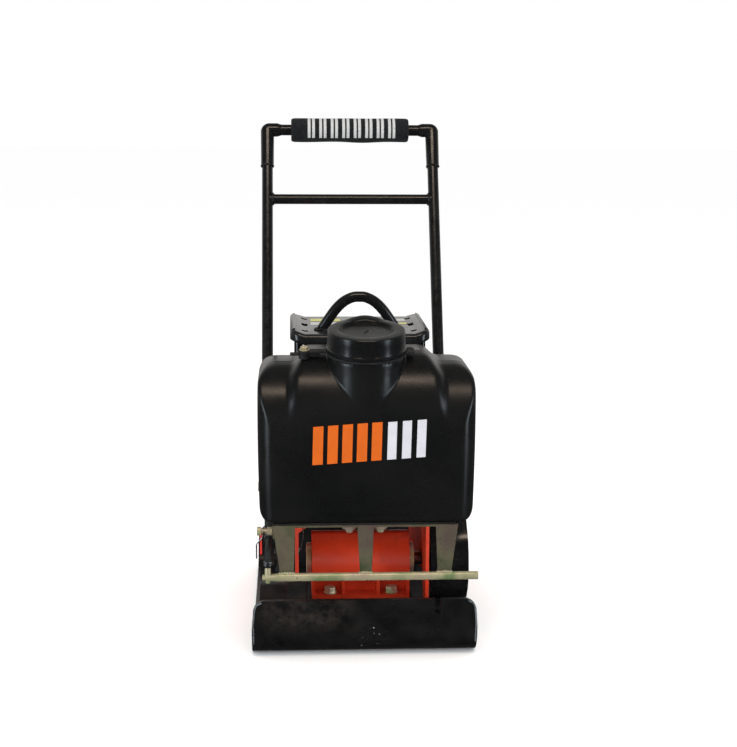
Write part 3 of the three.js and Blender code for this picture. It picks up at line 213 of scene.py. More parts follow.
def plate_black():
    """Black paint with brown mud on the left of the front lip, scuffs and a few white chips."""
    made = Finish("dusty_black", specular=0.45)
    x, y, z = made.axes()
    paint = made.mottle(26, 6, (0.0034, 0.0033, 0.0034), (0.0085, 0.0080, 0.0080))
    left = made.times(made.within(x, -0.175, -0.03, 0.03), made.within(z, 0.055, 0.115, 0.014))
    mud_noise = made.span(made.noise(38, detail=8, roughness=0.7), 0.42, 0.66)
    mud = made.times(made.times(left, mud_noise), 0.75)
    muddy = made.blend(mud, paint, (0.030, 0.020, 0.014))
    scuff_place = made.stretched((9, 9, 60), (0, 0.35, 0))
    scuffs = made.span(made.noise(4.2, detail=9, roughness=0.75, place=scuff_place), 0.60, 0.74)
    scuffed = made.blend(made.times(scuffs, 0.4), muddy, (0.055, 0.052, 0.050))
    chipped = made.span(made.noise(13, detail=3), 0.60, 0.66)
    chips = made.times(made.span(made.cells(85), 0.10, 0.06), chipped)
    made.set("Base Color", made.blend(made.times(chips, 0.85), scuffed, (0.42, 0.42, 0.41)))
    shine = made.wander(34, 6, 0.24, 0.44)
    floor = made.times(made.within(x, -0.13, 0.13, 0.004), made.span(y, -0.225, -0.215))
    dull = made.math("ADD", made.times(mud, 0.35), made.times(floor, 0.45))
    made.set("Roughness", made.math("ADD", shine, dull))
    dents = made.bump(made.noise(42, detail=5, roughness=0.6), 0.8 * MM, 0.55)
    made.bump(made.noise(420, detail=4), 0.12 * MM, 0.6, over=dents)
    return made.material


def orange_enamel():
    """Orange-red enamel with grime and chips, and black paint on the feet beside the exciter."""
    made = Finish("orange_red", specular=0.5)
    paint = made.mottle(15, 5, (0.58, 0.036, 0.011), (0.72, 0.052, 0.015))
    grime = made.span(made.noise(44, detail=8, roughness=0.7), 0.55, 0.75)
    grimy = made.blend(made.times(grime, 0.5), paint, (0.16, 0.018, 0.010))
    spots = made.span(made.cells(110), 0.10, 0.06)
    chips = made.times(spots, made.span(made.noise(19), 0.62, 0.66))
    chipped = made.blend(chips, grimy, (0.10, 0.085, 0.075))
    x, y, z = made.axes()
    beside = made.span(made.math("ABSOLUTE", x), 0.1160, 0.1164)
    foot = made.times(beside, made.span(z, 0.066, 0.060))
    made.set("Base Color", made.blend(foot, chipped, (0.014, 0.013, 0.013)))
    made.set("Roughness", made.wander(50, 5, 0.28, 0.46))
    cast = made.bump(made.noise(70, detail=3), 0.25 * MM, 0.5)
    made.bump(made.noise(800, detail=2), 0.05 * MM, 0.7, over=cast)
    return made.material


def yellow_zinc(name="yellow_zinc", patch=16, tone=1.0):
    """Zinc plate with a yellow passivation that drifts through green and pink; tone is its lightness."""

    def toned(*colour):
        return tuple(channel * tone for channel in colour)

    made = Finish(name, metallic=0.55)
    drift = made.noise(patch, detail=4, distortion=0.6)
    greens = made.blend(made.span(drift, 0.36, 0.5), toned(0.17, 0.24, 0.10), toned(0.42, 0.38, 0.24))
    pinks = made.blend(made.span(drift, 0.52, 0.66), greens, toned(0.36, 0.27, 0.22))
    dull = made.span(made.noise(70, detail=7, roughness=0.7), 0.52, 0.72)
    made.set("Base Color", made.blend(made.times(dull, 0.5), pinks, toned(0.24, 0.23, 0.18)))
    made.set("Roughness", made.wander(90, 6, 0.26, 0.48))
    lines = made.bump(made.noise(60, detail=4, place=made.stretched((1, 1, 22))), 0.05 * MM, 0.6)
    made.bump(made.noise(700, detail=2), 0.04 * MM, 0.6, over=lines)
    return made.material


def bare_steel(name="bare_steel"):
    dark = (0.36, 0.36, 0.37)
    light = (0.52, 0.52, 0.53)
    return grained(name, dark, light, (0.24, 0.42), patch=55, grain=620, metallic=1.0).material


def cast_alloy():
    dark = (0.30, 0.31, 0.32)
    light = (0.44, 0.44, 0.45)
    made = grained("cast_alloy", dark, light, (0.42, 0.62), patch=35, metallic=0.8)
    made.bump(made.noise(300, detail=4), 0.35 * MM, 0.8)
    return made.material


def black_rubber():
    dark = (0.0055, 0.0055, 0.006)
    light = (0.011, 0.011, 0.012)
    return grained("rubber", dark, light, (0.55, 0.75), patch=60, grain=1200, depth=0.06).material


def red_plastic():
    dark = (0.50, 0.014, 0.010)
    light = (0.62, 0.020, 0.014)
    return grained("red_plastic", dark, light, (0.32, 0.48), patch=45).material


def dark_plastic():
    dark = (0.012, 0.012, 0.013)
    light = (0.024, 0.024, 0.026)
    return grained("dark_plastic", dark, light, (0.38, 0.55), patch=40, grain=850, depth=0.06).material


def printed(name, colour, rough=(0.38, 0.5)):
    """Ink or a label: nearly even, with a slight mottle and a fine surface."""
    worn = tuple(channel * 0.9 for channel in colour)
    return grained(name, worn, colour, rough, patch=60, grain=1400, depth=0.02, specular=0.15).material


def painted_edge_glint():
    """Painted highlight for a rounded edge: black broken by noise into light blue-grey streaks, standing in
    for the windows' reflection.
    """
    made = Finish("painted_edge_glint", specular=0.5)
    glint_streaks = made.span(made.noise(55, detail=6, roughness=0.7), 0.36, 0.56)
    made.set("Base Color", made.blend(glint_streaks, (0.006, 0.006, 0.007), (0.10, 0.115, 0.13)))
    made.set("Roughness", made.wander(120, 4, 0.25, 0.45))
    made.bump(made.noise(500, detail=3), 0.06 * MM, 0.7)
    return made.material


FINISHES = {
    "gloss_black": powder_black(),
    "dusty_black": plate_black(),
    "orange_red": orange_enamel(),
    "yellow_zinc": yellow_zinc(),
    "bare_steel": bare_steel(),
    "tank_black": tank_black(),
    "cast_alloy": cast_alloy(),
    "rubber": black_rubber(),
    "red_plastic": red_plastic(),
    "dark_plastic": dark_plastic(),
}
TRAY_FINISH = tray_black()

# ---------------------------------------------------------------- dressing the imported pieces
BEVEL_DEFAULT = 0.6
BEVELS = {
    "base_plate": 3.4,
    "base_ramp": 2.0,
    "exciter_housing": 1.6,
    "engine_deck": 1.0,
    "belt_guard": 2.0,
    "fuel_tank": 3.0,
    "tank_bracket": 0.7,
    "hairpin": 0.0,
    "cap_tether": 0.8,
}


def soften(piece, width):
    """Rounds a hard piece's edges by width mm, and shades its curved faces smoothly."""
    piece.data.shade_smooth()
    weld = piece.modifiers.new("weld", "WELD")
    weld.merge_threshold = 0.02 * MM
    if width:
        bevel = piece.modifiers.new("bevel", "BEVEL")
        bevel.width = width * MM
        bevel.segments = 3
        bevel.limit_method = "ANGLE"
        bevel.angle_limit = math.radians(32)
        bevel.miter_outer = "MITER_ARC"
    normals = piece.modifiers.new("normals", "WEIGHTED_NORMAL")
    normals.weight = 60


def dress_packed_pieces():
    for part in frame["record"]["subparts"]:
        piece = nodes[part["node"]]
        piece.data.materials.clear()
        piece.data.materials.append(FINISHES[part["material_slot"]])
        soften(piece, BEVELS.get(part["node"], BEVEL_DEFAULT))
    nodes["tank_bracket"].material_slots[0].material = yellow_zinc("bracket_zinc", 15, 0.30)
    # Painted light: this lighter copy of the zinc, tone 1.9, brightens the exciter bolts and end covers, which
    # sit in shade under the tank and bar.
    bright = yellow_zinc("bolt_zinc_painted_light", 40, 1.9)
    for name, piece in nodes.items():
        if name.startswith(("exciter_bolt", "exciter_cover")):
            piece.material_slots[0].material = bright


dress_packed_pieces()

# ---------------------------------------------------------------- making pieces
HANDLE_PIVOT = Vector((0, 142, 195))
HANDLE_LEAN = math.radians(-24.2)
HANDLE_AT = Matrix.Translation(HANDLE_PIVOT) @ Matrix.Rotation(HANDLE_LEAN, 4, "X")
NECK_CENTRE = (3.0, -199.7)
NECK_AT = Matrix.Translation((*NECK_CENTRE, 515.4)) @ Matrix.Rotation(math.radians(9), 4, "X")
UPRIGHT = Matrix.Identity(4)


def circle(radius, height, sides):
    """Points round Z at a height."""
    angles = [2 * math.pi * i / sides for i in range(sides)]
    return [Vector((radius * math.cos(angle), radius * math.sin(angle), height)) for angle in angles]


class Shape:
    """Vertices and faces in mm, gathered before they become a piece."""

    def __init__(self):
        self.points = []
        self.faces = []

    def rings(self, rings, closed=False):
        """Joins a row of equal rings of points into a skin, with both ends capped unless it is closed."""
        start = len(self.points)
        sides = len(rings[0])
        for ring in rings:
            self.points.extend(Vector(point) for point in ring)
        count = len(rings) if closed else len(rings) - 1
        for i in range(count):
            near = start + i * sides
            far = start + ((i + 1) % len(rings)) * sides
            for j in range(sides):
                k = (j + 1) % sides
                self.faces.append((near + j, near + k, far + k, far + j))
        if not closed:
            last = start + (len(rings) - 1) * sides
            self.faces.append(tuple(start + j for j in reversed(range(sides))))
            self.faces.append(tuple(last + j for j in range(sides)))
        return self

    def tube(self, route, radius, sides=24, squash=None):
        """A round bar along the route. radius and squash, its height over its width, may be lists."""
        route = [Vector(point) for point in route]
        radii = radius if isinstance(radius, (list, tuple)) else [radius] * len(route)
        flats = squash or [1.0] * len(route)
        tangents = tangents_of(route)
        side = tangents[0].orthogonal().normalized()
        if abs(tangents[0].z) < 0.9:
            side = tangents[0].cross(Vector((0, 0, 1))).normalized()
        rings = []
        for i, centre in enumerate(route):
            if i:
                side = tangents[i - 1].rotation_difference(tangents[i]) @ side
            across = tangents[i].cross(side).normalized()
            ring = []
            for j in range(sides):
                angle = 2 * math.pi * j / sides
                offset = side * math.cos(angle) + across * (math.sin(angle) * flats[i])
                ring.append(centre + offset * radii[i])
            rings.append(ring)
        return self.rings(rings)

    def turned(self, profile, sides=64, ripple=None):
        """Turns (radius, height) points about Z. ripple(angle, index) adds to a point's radius."""
        rings = []
        for i, (radius, height) in enumerate(profile):
            ring = []
            for j in range(sides):
                angle = 2 * math.pi * j / sides
                wide = max(radius, 0.01) + (ripple(angle, i) if ripple else 0)
                ring.append((wide * math.cos(angle), wide * math.sin(angle), height))
            rings.append(ring)
        return self.rings(rings)

    def moved(self, matrix):
        self.points = [matrix @ point for point in self.points]
        return self

    def add(self, other):
        start = len(self.points)
        self.points.extend(other.points)
        self.faces.extend(tuple(start + i for i in face) for face in other.faces)
        return self


def tangents_of(route):
    last = len(route) - 1
    return [(route[min(i + 1, last)] - route[max(i - 1, 0)]).normalized() for i in range(last + 1)]


def rounded_route(corners, bend, steps=12):
    """The corners joined by straight runs, each turn rounded to the radius bend."""
    corners = [Vector(corner) for corner in corners]
    route = [corners[0]]
    for before, corner, after in zip(corners, corners[1:], corners[2:]):
        into = (before - corner).normalized()
        out = (after - corner).normalized()
        half = into.angle(out) / 2
        reach = bend / math.tan(half)
        centre = corner + (into + out).normalized() * (bend / math.sin(half))
        first = corner + into * reach - centre
        last = corner + out * reach - centre
        for step in range(steps + 1):
            turn = Matrix.Rotation(first.angle(last) * step / steps, 3, first.cross(last))
            route.append(centre + turn @ first)
    return [*route, corners[-1]]


def linked(name, data):
    made = bpy.data.objects.new(name, data)
    scene.collection.objects.link(made)
    return made


def bare_piece(name, shape, place=UPRIGHT):
    """The shape as an object whose faces all point outwards."""
    mesh = bpy.data.meshes.new(name)
    mesh.from_pydata([tuple((place @ point) * MM) for point in shape.points], [], shape.faces)
    work = bmesh.new()
    work.from_mesh(mesh)
    bmesh.ops.recalc_face_normals(work, faces=work.faces)
    work.to_mesh(mesh)
    work.free()
    return linked(name, mesh)


def piece_from(name, shape, material, body, sharp=35, place=UPRIGHT):
    """Makes the shape a piece that rides on the body. Edges over sharp degrees stay crisp."""
    piece = bare_piece(name, shape, place)
    piece.data.shade_smooth()
    piece.data.set_sharp_from_angle(angle=math.radians(sharp))
    piece.data.materials.append(material)
    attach(piece, body)
    return piece


def plain_bar(a, b, radius, sides=24):
    return Shape().tube([a, b], radius, sides)


def slab(x, y, z):
    """A box between two limits on each axis."""
    rings = [[(x[0], y[0], h), (x[1], y[0], h), (x[1], y[1], h), (x[0], y[1], h)] for h in z]
    return Shape().rings(rings)


def weld_bead(route, radius, seed):
    """A hand-laid weld along the route: overlapping ripples, a little uneven."""
    chance = random.Random(seed)
    route = [Vector(point) for point in route]
    fine = []
    for a, b in zip(route, route[1:]):
        steps = max(2, int((b - a).length / 1.3))
        fine.extend(a.lerp(b, i / steps) for i in range(steps))
    fine.append(route[-1])
    radii = []
    for i, _ in enumerate(fine):
        end = min(1.0, 0.35 + 0.4 * min(i, len(fine) - 1 - i))
        radii.append(radius * end * (1 + 0.16 * math.sin(i * 1.9) + chance.uniform(-0.12, 0.12)))
    return Shape().tube(fine, radii, 10)


def around(centre, axis, radius, turns=1.0, steps=40, start=0.0):
    """Points on a circle about an axis through the centre."""
    axis = Vector(axis).normalized()
    side = axis.orthogonal().normalized()
    across = axis.cross(side)
    points = []
    for i in range(steps + 1):
        angle = start + 2 * math.pi * turns * i / steps
        points.append(Vector(centre) + (side * math.cos(angle) + across * math.sin(angle)) * radius)
    return points


# ---------------------------------------------------------------- water tank
TANK_MIDDLE = np.array((3.0, -171.0, 363.0))
TANK_HALF = np.array((182.0, 91.0, 129.0))
TANK_ROUND = 108  # radius of the long edge between the front and the top
TANK_STEP = 18.0  # how much higher the tank's middle is than its shoulders
TANK_WALL = 5.0
NECK_RADIUS = 65
BORE_RADIUS = 52
COLLAR_TOP = -4  # height along the neck's axis, from where the cap sits


def rounded_rectangle(u, v, half_u, half_v, radii):
    """Distance to a rectangle whose corner radii are (-u -v, +u -v, +u +v, -u +v)."""
    radius = np.where(v < 0, np.where(u < 0, radii[0], radii[1]), np.where(u < 0, radii[3], radii[2]))
    a = np.abs(u) - half_u + radius
    b = np.abs(v) - half_v + radius
    return np.minimum(np.maximum(a, b), 0) + np.hypot(np.maximum(a, 0), np.maximum(b, 0)) - radius


def soft_max(a, b, k):
    """The larger of two distances, with the edge where they cross rounded over k mm."""
    h = np.clip(0.5 - 0.5 * (b - a) / k, 0, 1)
    return b + (a - b) * h + k * h * (1 - h)


def soft_min(a, b, k):
    return -soft_max(-a, -b, k)


def tank_block(p, height, half_x):
    """The tank as a block of the given height over its bottom, with its great round front edge."""
    x = p[:, 0] - TANK_MIDDLE[0]
    y = p[:, 1] - TANK_MIDDLE[1]
    z = p[:, 2] - (TANK_MIDDLE[2] - TANK_HALF[2] + height / 2)
    edge = 9
    half_z = height / 2 + edge / 4
    flank = rounded_rectangle(y, z, TANK_HALF[1], half_z, (9, 9, 30, TANK_ROUND))
    face = rounded_rectangle(x, z, half_x, half_z, (25, 25, 35, 35))
    plan = rounded_rectangle(x, y, half_x, TANK_HALF[1], (34, 34, 34, 34))
    return soft_max(soft_max(flank, face, edge), plan, 3)


def tank_body(p):
    """The tank without its neck: low shoulders and a higher middle, slightly narrower at the bottom."""
    aside = p[:, 0] - TANK_MIDDLE[0]
    tapered = p.copy()
    tapered[:, 0] = TANK_MIDDLE[0] + aside * (1 + 0.010 * ((p[:, 2] - 400) / 130) ** 2)
    low = tank_block(tapered, 2 * TANK_HALF[2], TANK_HALF[0])
    high = tank_block(p, 2 * TANK_HALF[2] + TANK_STEP, 200.0)
    spread = np.interp(p[:, 2], (476, 512), (125, 106))
    tall = soft_max(high, np.abs(aside) - spread, 16)
    body = np.maximum(soft_min(low, tall, 12), high)
    dip = rounded_rectangle(aside, p[:, 2] - 232, 92, 15, (4, 4, 12, 12))
    dip = soft_max(dip, p[:, 1] + 260.3, 3)
    return soft_max(body, -dip, 4)


def on_neck(p):
    """Each point's distance from the neck's leaning axis, and its height along it."""
    to_neck = np.array(NECK_AT.inverted())
    local = p @ to_neck[:3, :3].T + to_neck[:3, 3]
    return np.hypot(local[:, 0], local[:, 1]), local[:, 2]


def tank_outside(p):
    """Distance to the moulding's outer skin, in mm."""
    lean = 2 + 0.03 * (490 - p[:, 2])
    upright = np.hypot(p[:, 0] - NECK_CENTRE[0], p[:, 1] - NECK_CENTRE[1] - lean)
    out, up = on_neck(p)
    neck = soft_max(upright - NECK_RADIUS, p[:, 2] - 501, 5)
    collar = soft_max(out - NECK_RADIUS, np.abs(up - COLLAR_TOP + 11) - 11, 2)
    return soft_min(soft_min(tank_body(p), neck, 1.0), collar, 3)


def tank_inside(p):
    """Distance to the hollow that holds the water, in mm."""
    upright = np.hypot(p[:, 0] - NECK_CENTRE[0], p[:, 1] - NECK_CENTRE[1])
    out, up = on_neck(p)
    bore = np.maximum(upright - BORE_RADIUS, np.abs(p[:, 2] - 466) - 33)
    mouth = np.maximum(out - BORE_RADIUS, np.abs(up) - 30)
    return np.minimum(np.minimum(tank_body(p) + TANK_WALL, bore), mouth)


def slope_of(points, distance, reach=0.3):
    """Which way the distance grows at each point, measured over reach mm to either side."""
    steps = np.eye(3) * reach
    return np.stack([(distance(points + step) - distance(points - step)) / (2 * reach) for step in steps], 1)


def onto_skin(points, distance, rounds=8, reach=1.5):
    """Moves points on to where the distance is 0, by at most reach mm a round."""
    for _ in range(rounds):
        slope = slope_of(points, distance)
        steepness = np.maximum((slope**2).sum(1), 0.05)
        move = np.clip(distance(points) / steepness, -reach, reach)
        points = points - slope * move[:, None]
    return points


def remeshed_copy(name, node, voxel):
    """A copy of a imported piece's mesh, remade of even squares of voxel mm."""
    copy = linked(name, nodes[node].data.copy())
    work = bmesh.new()
    work.from_mesh(copy.data)
    bmesh.ops.remove_doubles(work, verts=work.verts, dist=0.02 * MM)
    work.to_mesh(copy.data)
    work.free()
    remesh = copy.modifiers.new("remesh", "REMESH")
    remesh.mode = "VOXEL"
    remesh.voxel_size = voxel * MM
    remesh.use_smooth_shade = True
    apply_modifiers(copy)
    return copy


def apply_modifiers(piece):
    evaluated = piece.evaluated_get(bpy.context.evaluated_depsgraph_get())
    mesh = bpy.data.meshes.new_from_object(evaluated)
    piece.modifiers.clear()
    piece.data = mesh


def vertices_of(mesh):
    flat = np.zeros(len(mesh.vertices) * 3)
    mesh.vertices.foreach_get("co", flat)
    return flat.reshape(-1, 3)


def set_vertices(mesh, points):
    mesh.vertices.foreach_set("co", points.astype(np.float32).ravel())
    mesh.update()


def make_spout():
    """The threaded spout that stands on the neck's collar, under the cap."""
    outer = 55.2
    crest = 56.3
    wall = [(BORE_RADIUS, -20), (BORE_RADIUS, 26.2), (52.6, 27), (54.4, 27), (outer, 26.2)]
    for height in (20, 13, 6):
        wall += [(outer, height + 1.6), (crest, height + 0.6), (crest, height - 0.6), (outer, height - 1.6)]
    wall += [(outer, -20)]
    shape = Shape().rings([circle(radius, height, 96) for radius, height in wall], closed=True)
    piece_from("tank_spout", shape, FINISHES["tank_black"], "chassis", 30, NECK_AT)


def make_tank():
    """The moulded tank up to its collar, the spout on top and the rubber mat under it."""
    tank = remeshed_copy("tank_moulding", "water_tank", 3.0)
    points = vertices_of(tank.data) / MM
    normals = np.zeros(points.size)
    tank.data.vertices.foreach_get("normal", normals)
    outer = (normals.reshape(-1, 3) * slope_of(points, tank_outside)).sum(1) > 0
    past_collar = on_neck(points)[1] - COLLAR_TOP
    points -= np.maximum(past_collar, 0)[:, None] * np.array(NECK_AT.to_3x3().col[2])
    outer |= past_collar > 0
    points[outer] = onto_skin(points[outer], tank_outside)
    points[~outer] = onto_skin(points[~outer], tank_inside)
    set_vertices(tank.data, points * MM)
    tank.data.shade_smooth()
    tank.data.materials.clear()
    tank.data.materials.append(FINISHES["tank_black"])
    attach(tank, "chassis")
    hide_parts("water_tank")
    make_spout()
    sheet = slab((-150, 150), (-259, -84), (231.2, 233.9))
    mat = piece_from("tank_mat", sheet, FINISHES["rubber"], "chassis")
    soften(mat, 0.5)


make_tank()

# ---------------------------------------------------------------- tank cap and tether


def lug_rise(point):
    """How far the cap's rim rises into a low lug at its back."""
    across = max(0.0, 1 - (point.x / 36) ** 2)
    back = min(1.0, max(0.0, (point.y - 42) / 14))
    return 5.5 * across**1.5 * back


def make_cap():
    """The screw cap: a lightly fluted wall, a dished crown with a lug behind, and a small vent."""
    outer = [(58, 0), (66.2, 0), (67, 0.8), (67, 5.5), (65.8, 7), (65.4, 9), (65, 22), (64.6, 33)]
    crown = [(64.2, 34.6), (63.2, 35.6), (61, 36), (48, 36.6)]
    crown += [(46.4, 36.2), (45.2, 34.8), (44, 32.6), (42.4, 31.4), (40, 31)]
    inside = [(57.5, 0.4), (57.5, 29), (0, 29)]
    profile = [(0, 31.4), *reversed(crown), *reversed(outer[1:]), *inside]
    walls = range(len(crown) + 2, len(crown) + 5)

    def grip(angle, index):
        if index not in walls:
            return 0
        return 0.3 * max(-0.5, math.cos(angle * 12)) - 0.1

    shape = Shape().turned(profile, 144, grip)
    for point in shape.points:
        if point.z > 32.8:
            point.z += lug_rise(point)
    cap = piece_from("filler_cap", shape, FINISHES["tank_black"], "water_cap", 30, NECK_AT)
    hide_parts("tank_cap")
    vent = slab((-1.1, 1.1), (-7, 7), (31.2, 32.1)).moved(Matrix.Rotation(math.radians(-28), 4, "Z"))
    piece_from("cap_vent", vent, FINISHES["rubber"], "water_cap", 30, NECK_AT)


def make_tether_fixing():
    """The screw that holds the cap's tether, on its boss beside the neck."""
    beside_neck = NECK_AT @ Matrix.Translation((-103, 0, 0))
    head = Shape().turned([(0, 0), (6.6, 0), (6.9, 0.5), (6.9, 4.2), (6.0, 5.0), (0, 5.0)], 6)
    head.moved(beside_neck @ Matrix.Translation((0, 0, 1.4)))
    washer = Shape().turned([(0, 0), (8.4, 0), (8.6, 0.3), (8.6, 1.2), (8.2, 1.5), (0, 1.5)], 40)
    washer.moved(beside_neck)
    screw = head.add(washer)
    piece_from("tether_screw", screw, FINISHES["yellow_zinc"], "chassis")
    boss = Shape().turned([(0, -14), (10, -14), (8.5, -5), (8, -4), (0, -4)], 32)
    strap = slab((-24, 26), (-6, 6), (-8.2, -5.4)).add(boss)
    strap.moved(beside_neck)
    made = piece_from("tether_boss", strap, FINISHES["rubber"], "chassis")
    soften(made, 0.8)


make_cap()
make_tether_fixing()

# ---------------------------------------------------------------- plain graphics in place of lettering
TANK_FRONT_Y = -262.0


def slanted_bars(starts, width, foot, height, rise, lean):
    """A row of leaning bars on the tank's front. rise is how much each mm to the right lifts them."""
    shape = Shape()
    for start in starts:
        corners = [(start, 0), (start + width, 0), (start + width + lean, height), (start + lean, height)]
        rings = []
        for y in (TANK_FRONT_Y + 0.6, TANK_FRONT_Y - 0.35):
            rings.append([(x, y, foot + z + (x + 90) * rise) for x, z in corners])
        shape.add(Shape().rings(rings))
    return shape


def make_tank_graphic():
    rise = 0.068
    pitch = 24.2
    orange = slanted_bars([-88 + pitch * i for i in range(5)], 17, 333.5, 64, rise, 1.5)
    white = slanted_bars([35 + pitch * i for i in range(3)], 15, 333.5, 63, rise, 1.5)
    orange_ink = printed("ink_orange", (0.45, 0.082, 0.004))
    white_ink = printed("ink_white", (0.43, 0.43, 0.47))
    piece_from("tank_bars_orange", orange, orange_ink, "chassis")
    piece_from("tank_bars_white", white, white_ink, "chassis")


make_tank_graphic()

# ---------------------------------------------------------------- handle
HANDLE_HALF = 169
HANDLE_TUBE = 11
HANDLE_LENGTH = 740
CROSSBAR_UP = 589
SLEEVE_START = 660


def handle_piece(name, shape, sharp=40):
    return piece_from(name, shape, FINISHES["gloss_black"], "handle", sharp, HANDLE_AT)


def make_handle():
    """The uprights and crossbar, then the bow with its elbows, then the welds between them."""
    shape = Shape()
    for sign in (-1, 1):
        x = sign * HANDLE_HALF
        shape.add(plain_bar((x, 0, 2), (x, 0, 704), HANDLE_TUBE, 32))
        eye = [(6.4, -11), (13.2, -11), (14, -10.2), (14, 10.2), (13.2, 11), (6.4, 11)]
        across = Matrix.Translation((x, 0, 0)) @ Matrix.Rotation(math.pi / 2, 4, "Y")
        shape.add(Shape().turned(eye, 40).moved(across))
    shape.add(level_bar(HANDLE_HALF, CROSSBAR_UP, HANDLE_TUBE - 1))
    tubes = handle_piece("handle_tubes", shape)
    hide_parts("handle_frame")

    bow = Shape()
    for sign in (-1, 1):
        x = sign * HANDLE_HALF
        corner = (x, 0, HANDLE_LENGTH)
        route = rounded_route([(x, 0, SLEEVE_START), corner, (x - sign * 20, 0, HANDLE_LENGTH)], 4, 14)
        route.append(Vector((x - sign * 28, 0, HANDLE_LENGTH)))
        bow.add(Shape().tube(route, sleeve_radii(route), 32))
    bow.add(level_bar(HANDLE_HALF - 24, HANDLE_LENGTH, HANDLE_TUBE))
    made = handle_piece("handle_bow_tube", bow)
    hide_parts("handle_bow")

    beads = Shape()
    for index, sign in enumerate((-1, 1)):
        centre = (sign * (HANDLE_HALF - HANDLE_TUBE + 0.5), 0, CROSSBAR_UP)
        beads.add(weld_bead(around(centre, (1, 0, 0), HANDLE_TUBE - 0.4), 2.3, 10 + index))
        for side in (-1, 1):
            beads.add(corner_web(sign, side))
        foot = (sign * HANDLE_HALF, 0, SLEEVE_START + 0.5)
        beads.add(weld_bead(around(foot, (0, 0, 1), HANDLE_TUBE + 1.0), 1.8, 20 + index))
    handle_piece("handle_welds", beads, 60)


def level_bar(reach, up, radius):
    """A bar across the handle, reaching this far to each side."""
    return plain_bar((-reach, 0, up), (reach, 0, up), radius, 32)


def sleeve_radii(route):
    return [13.0] + [13.7] * (len(route) - 2) + [11.3]


def corner_web(sign, side):
    """The small filled corner between the crossbar and an upright."""
    corner = Vector((sign * (HANDLE_HALF - HANDLE_TUBE + 2), 0, CROSSBAR_UP + side * (HANDLE_TUBE - 2.5)))
    rings = []
    for y in (-3.0, 3.0):
        along = corner + Vector((-sign * 9, y, 0))
        up = corner + Vector((0, y, side * 9))
        hollow = (along + up) / 2 + Vector((sign * 1.8, 0, -side * 1.8))
        rings.append([corner + Vector((0, y, 0)), along, hollow, up])
    return Shape().rings(rings)


make_handle()

# ---------------------------------------------------------------- foam grip
GRIP_HALF = 120.5
GRIP_RADIUS = 27.0
FOAM_START = 24.2
FOAM_GROWTH = 2.6
PRINT_RISE = 0.969  # how far the printed band's upright direction leans along the handle, and across it
PRINT_LEAN = 0.245


def foam_finish():
    """Fine-celled black foam, with a row of plain white bars printed on its upper front."""
    made = Finish("foam", roughness=0.9, specular=0.15)
    made.set("Sheen Weight", 0.03)
    made.set("Sheen Roughness", 0.6)
    local = made.node("ShaderNodeMapping", vector_type="TEXTURE")
    made.feed(local.inputs["Vector"], made.place)
    local.inputs["Location"].default_value = HANDLE_PIVOT * MM
    local.inputs["Rotation"].default_value = (HANDLE_LEAN, 0, 0)
    x, y, z = made.axes(local.outputs["Vector"])
    above = made.math("SUBTRACT", z, HANDLE_LENGTH * MM)
    height = made.math("ADD", made.times(above, PRINT_RISE), made.times(y, -PRINT_LEAN))
    facing = made.math("ADD", made.times(above, -PRINT_LEAN), made.times(y, -PRINT_RISE))
    rows = made.within(height, -0.0185, 0.032, 0.0005)
    band = made.times(rows, made.span(facing, -0.0125, -0.012))
    pitch = 0.0235
    run = made.math("FRACT", made.math("DIVIDE", made.math("ADD", x, 0.088), pitch))
    stripe = made.math("SUBTRACT", made.within(run, 0.06, 0.68, 0.02), made.within(run, 0.30, 0.44, 0.02))
    reach = made.within(x, -0.0880, 0.0925, 0.0004)
    ink = made.times(made.times(band, stripe), reach)
    worn = made.times(ink, made.span(made.noise(160, detail=6), 0.28, 0.42, 0.72, 1.0))
    foam = made.mottle(90, 5, (0.0042, 0.0048, 0.0055), (0.0085, 0.0092, 0.0105))
    made.set("Base Color", made.blend(worn, foam, (0.38, 0.38, 0.38)))
    made.set("Roughness", made.wander(200, 3, 0.72, 0.9))
    cells = made.bump(made.cells(900), 0.18 * MM, 0.6)
    made.bump(made.noise(45, detail=3), 0.5 * MM, 0.5, over=cells)
    return made.material


def foam_shape():
    """The sleeve before it swells: a thick round tube with a bore that fits the handle's bar."""
    profile = [(HANDLE_TUBE + 0.4, -GRIP_HALF), (FOAM_START - 1, -GRIP_HALF), (FOAM_START, -GRIP_HALF + 1.2)]
    steps = 40
    span = GRIP_HALF - 1.2
    profile += [(FOAM_START, -span + 2 * span * i / steps) for i in range(1, steps)]
    profile += [(FOAM_START, span), (FOAM_START - 1, GRIP_HALF), (HANDLE_TUBE + 0.4, GRIP_HALF)]
    sides = 48
    rings = []
    for radius, height in [*profile, (HANDLE_TUBE + 0.4, 0)]:
        ring = []
        for j in range(sides):
            angle = 2 * math.pi * j / sides
            ring.append((height, radius * math.cos(angle), radius * math.sin(angle)))
        rings.append(ring)
    return Shape().rings(rings, closed=True)


def swell(piece, voxel, pressure, growth):
    """Remeshes the piece evenly and lets it swell like cloth under pressure, by at most growth mm."""
    remesh = piece.modifiers.new("remesh", "REMESH")
    remesh.mode = "VOXEL"
    remesh.voxel_size = voxel * MM
    apply_modifiers(piece)
    start = vertices_of(piece.data)
    cloth = piece.modifiers.new("cloth", "CLOTH")
    cloth.settings.use_pressure = True
    cloth.settings.uniform_pressure_force = pressure
    cloth.settings.effector_weights.gravity = 0
    cloth.settings.tension_stiffness = 40
    cloth.settings.bending_stiffness = 4
    cloth.point_cache.frame_start = 1
    cloth.point_cache.frame_end = 20
    for frame_number in range(1, 21):
        scene.frame_set(frame_number)
    apply_modifiers(piece)
    scene.frame_set(1)
    move = vertices_of(piece.data) - start
    length = np.linalg.norm(move, axis=1, keepdims=True)
    limit = growth * MM
    move *= np.minimum(1, limit / np.maximum(length, 1e-9))
    return start, move


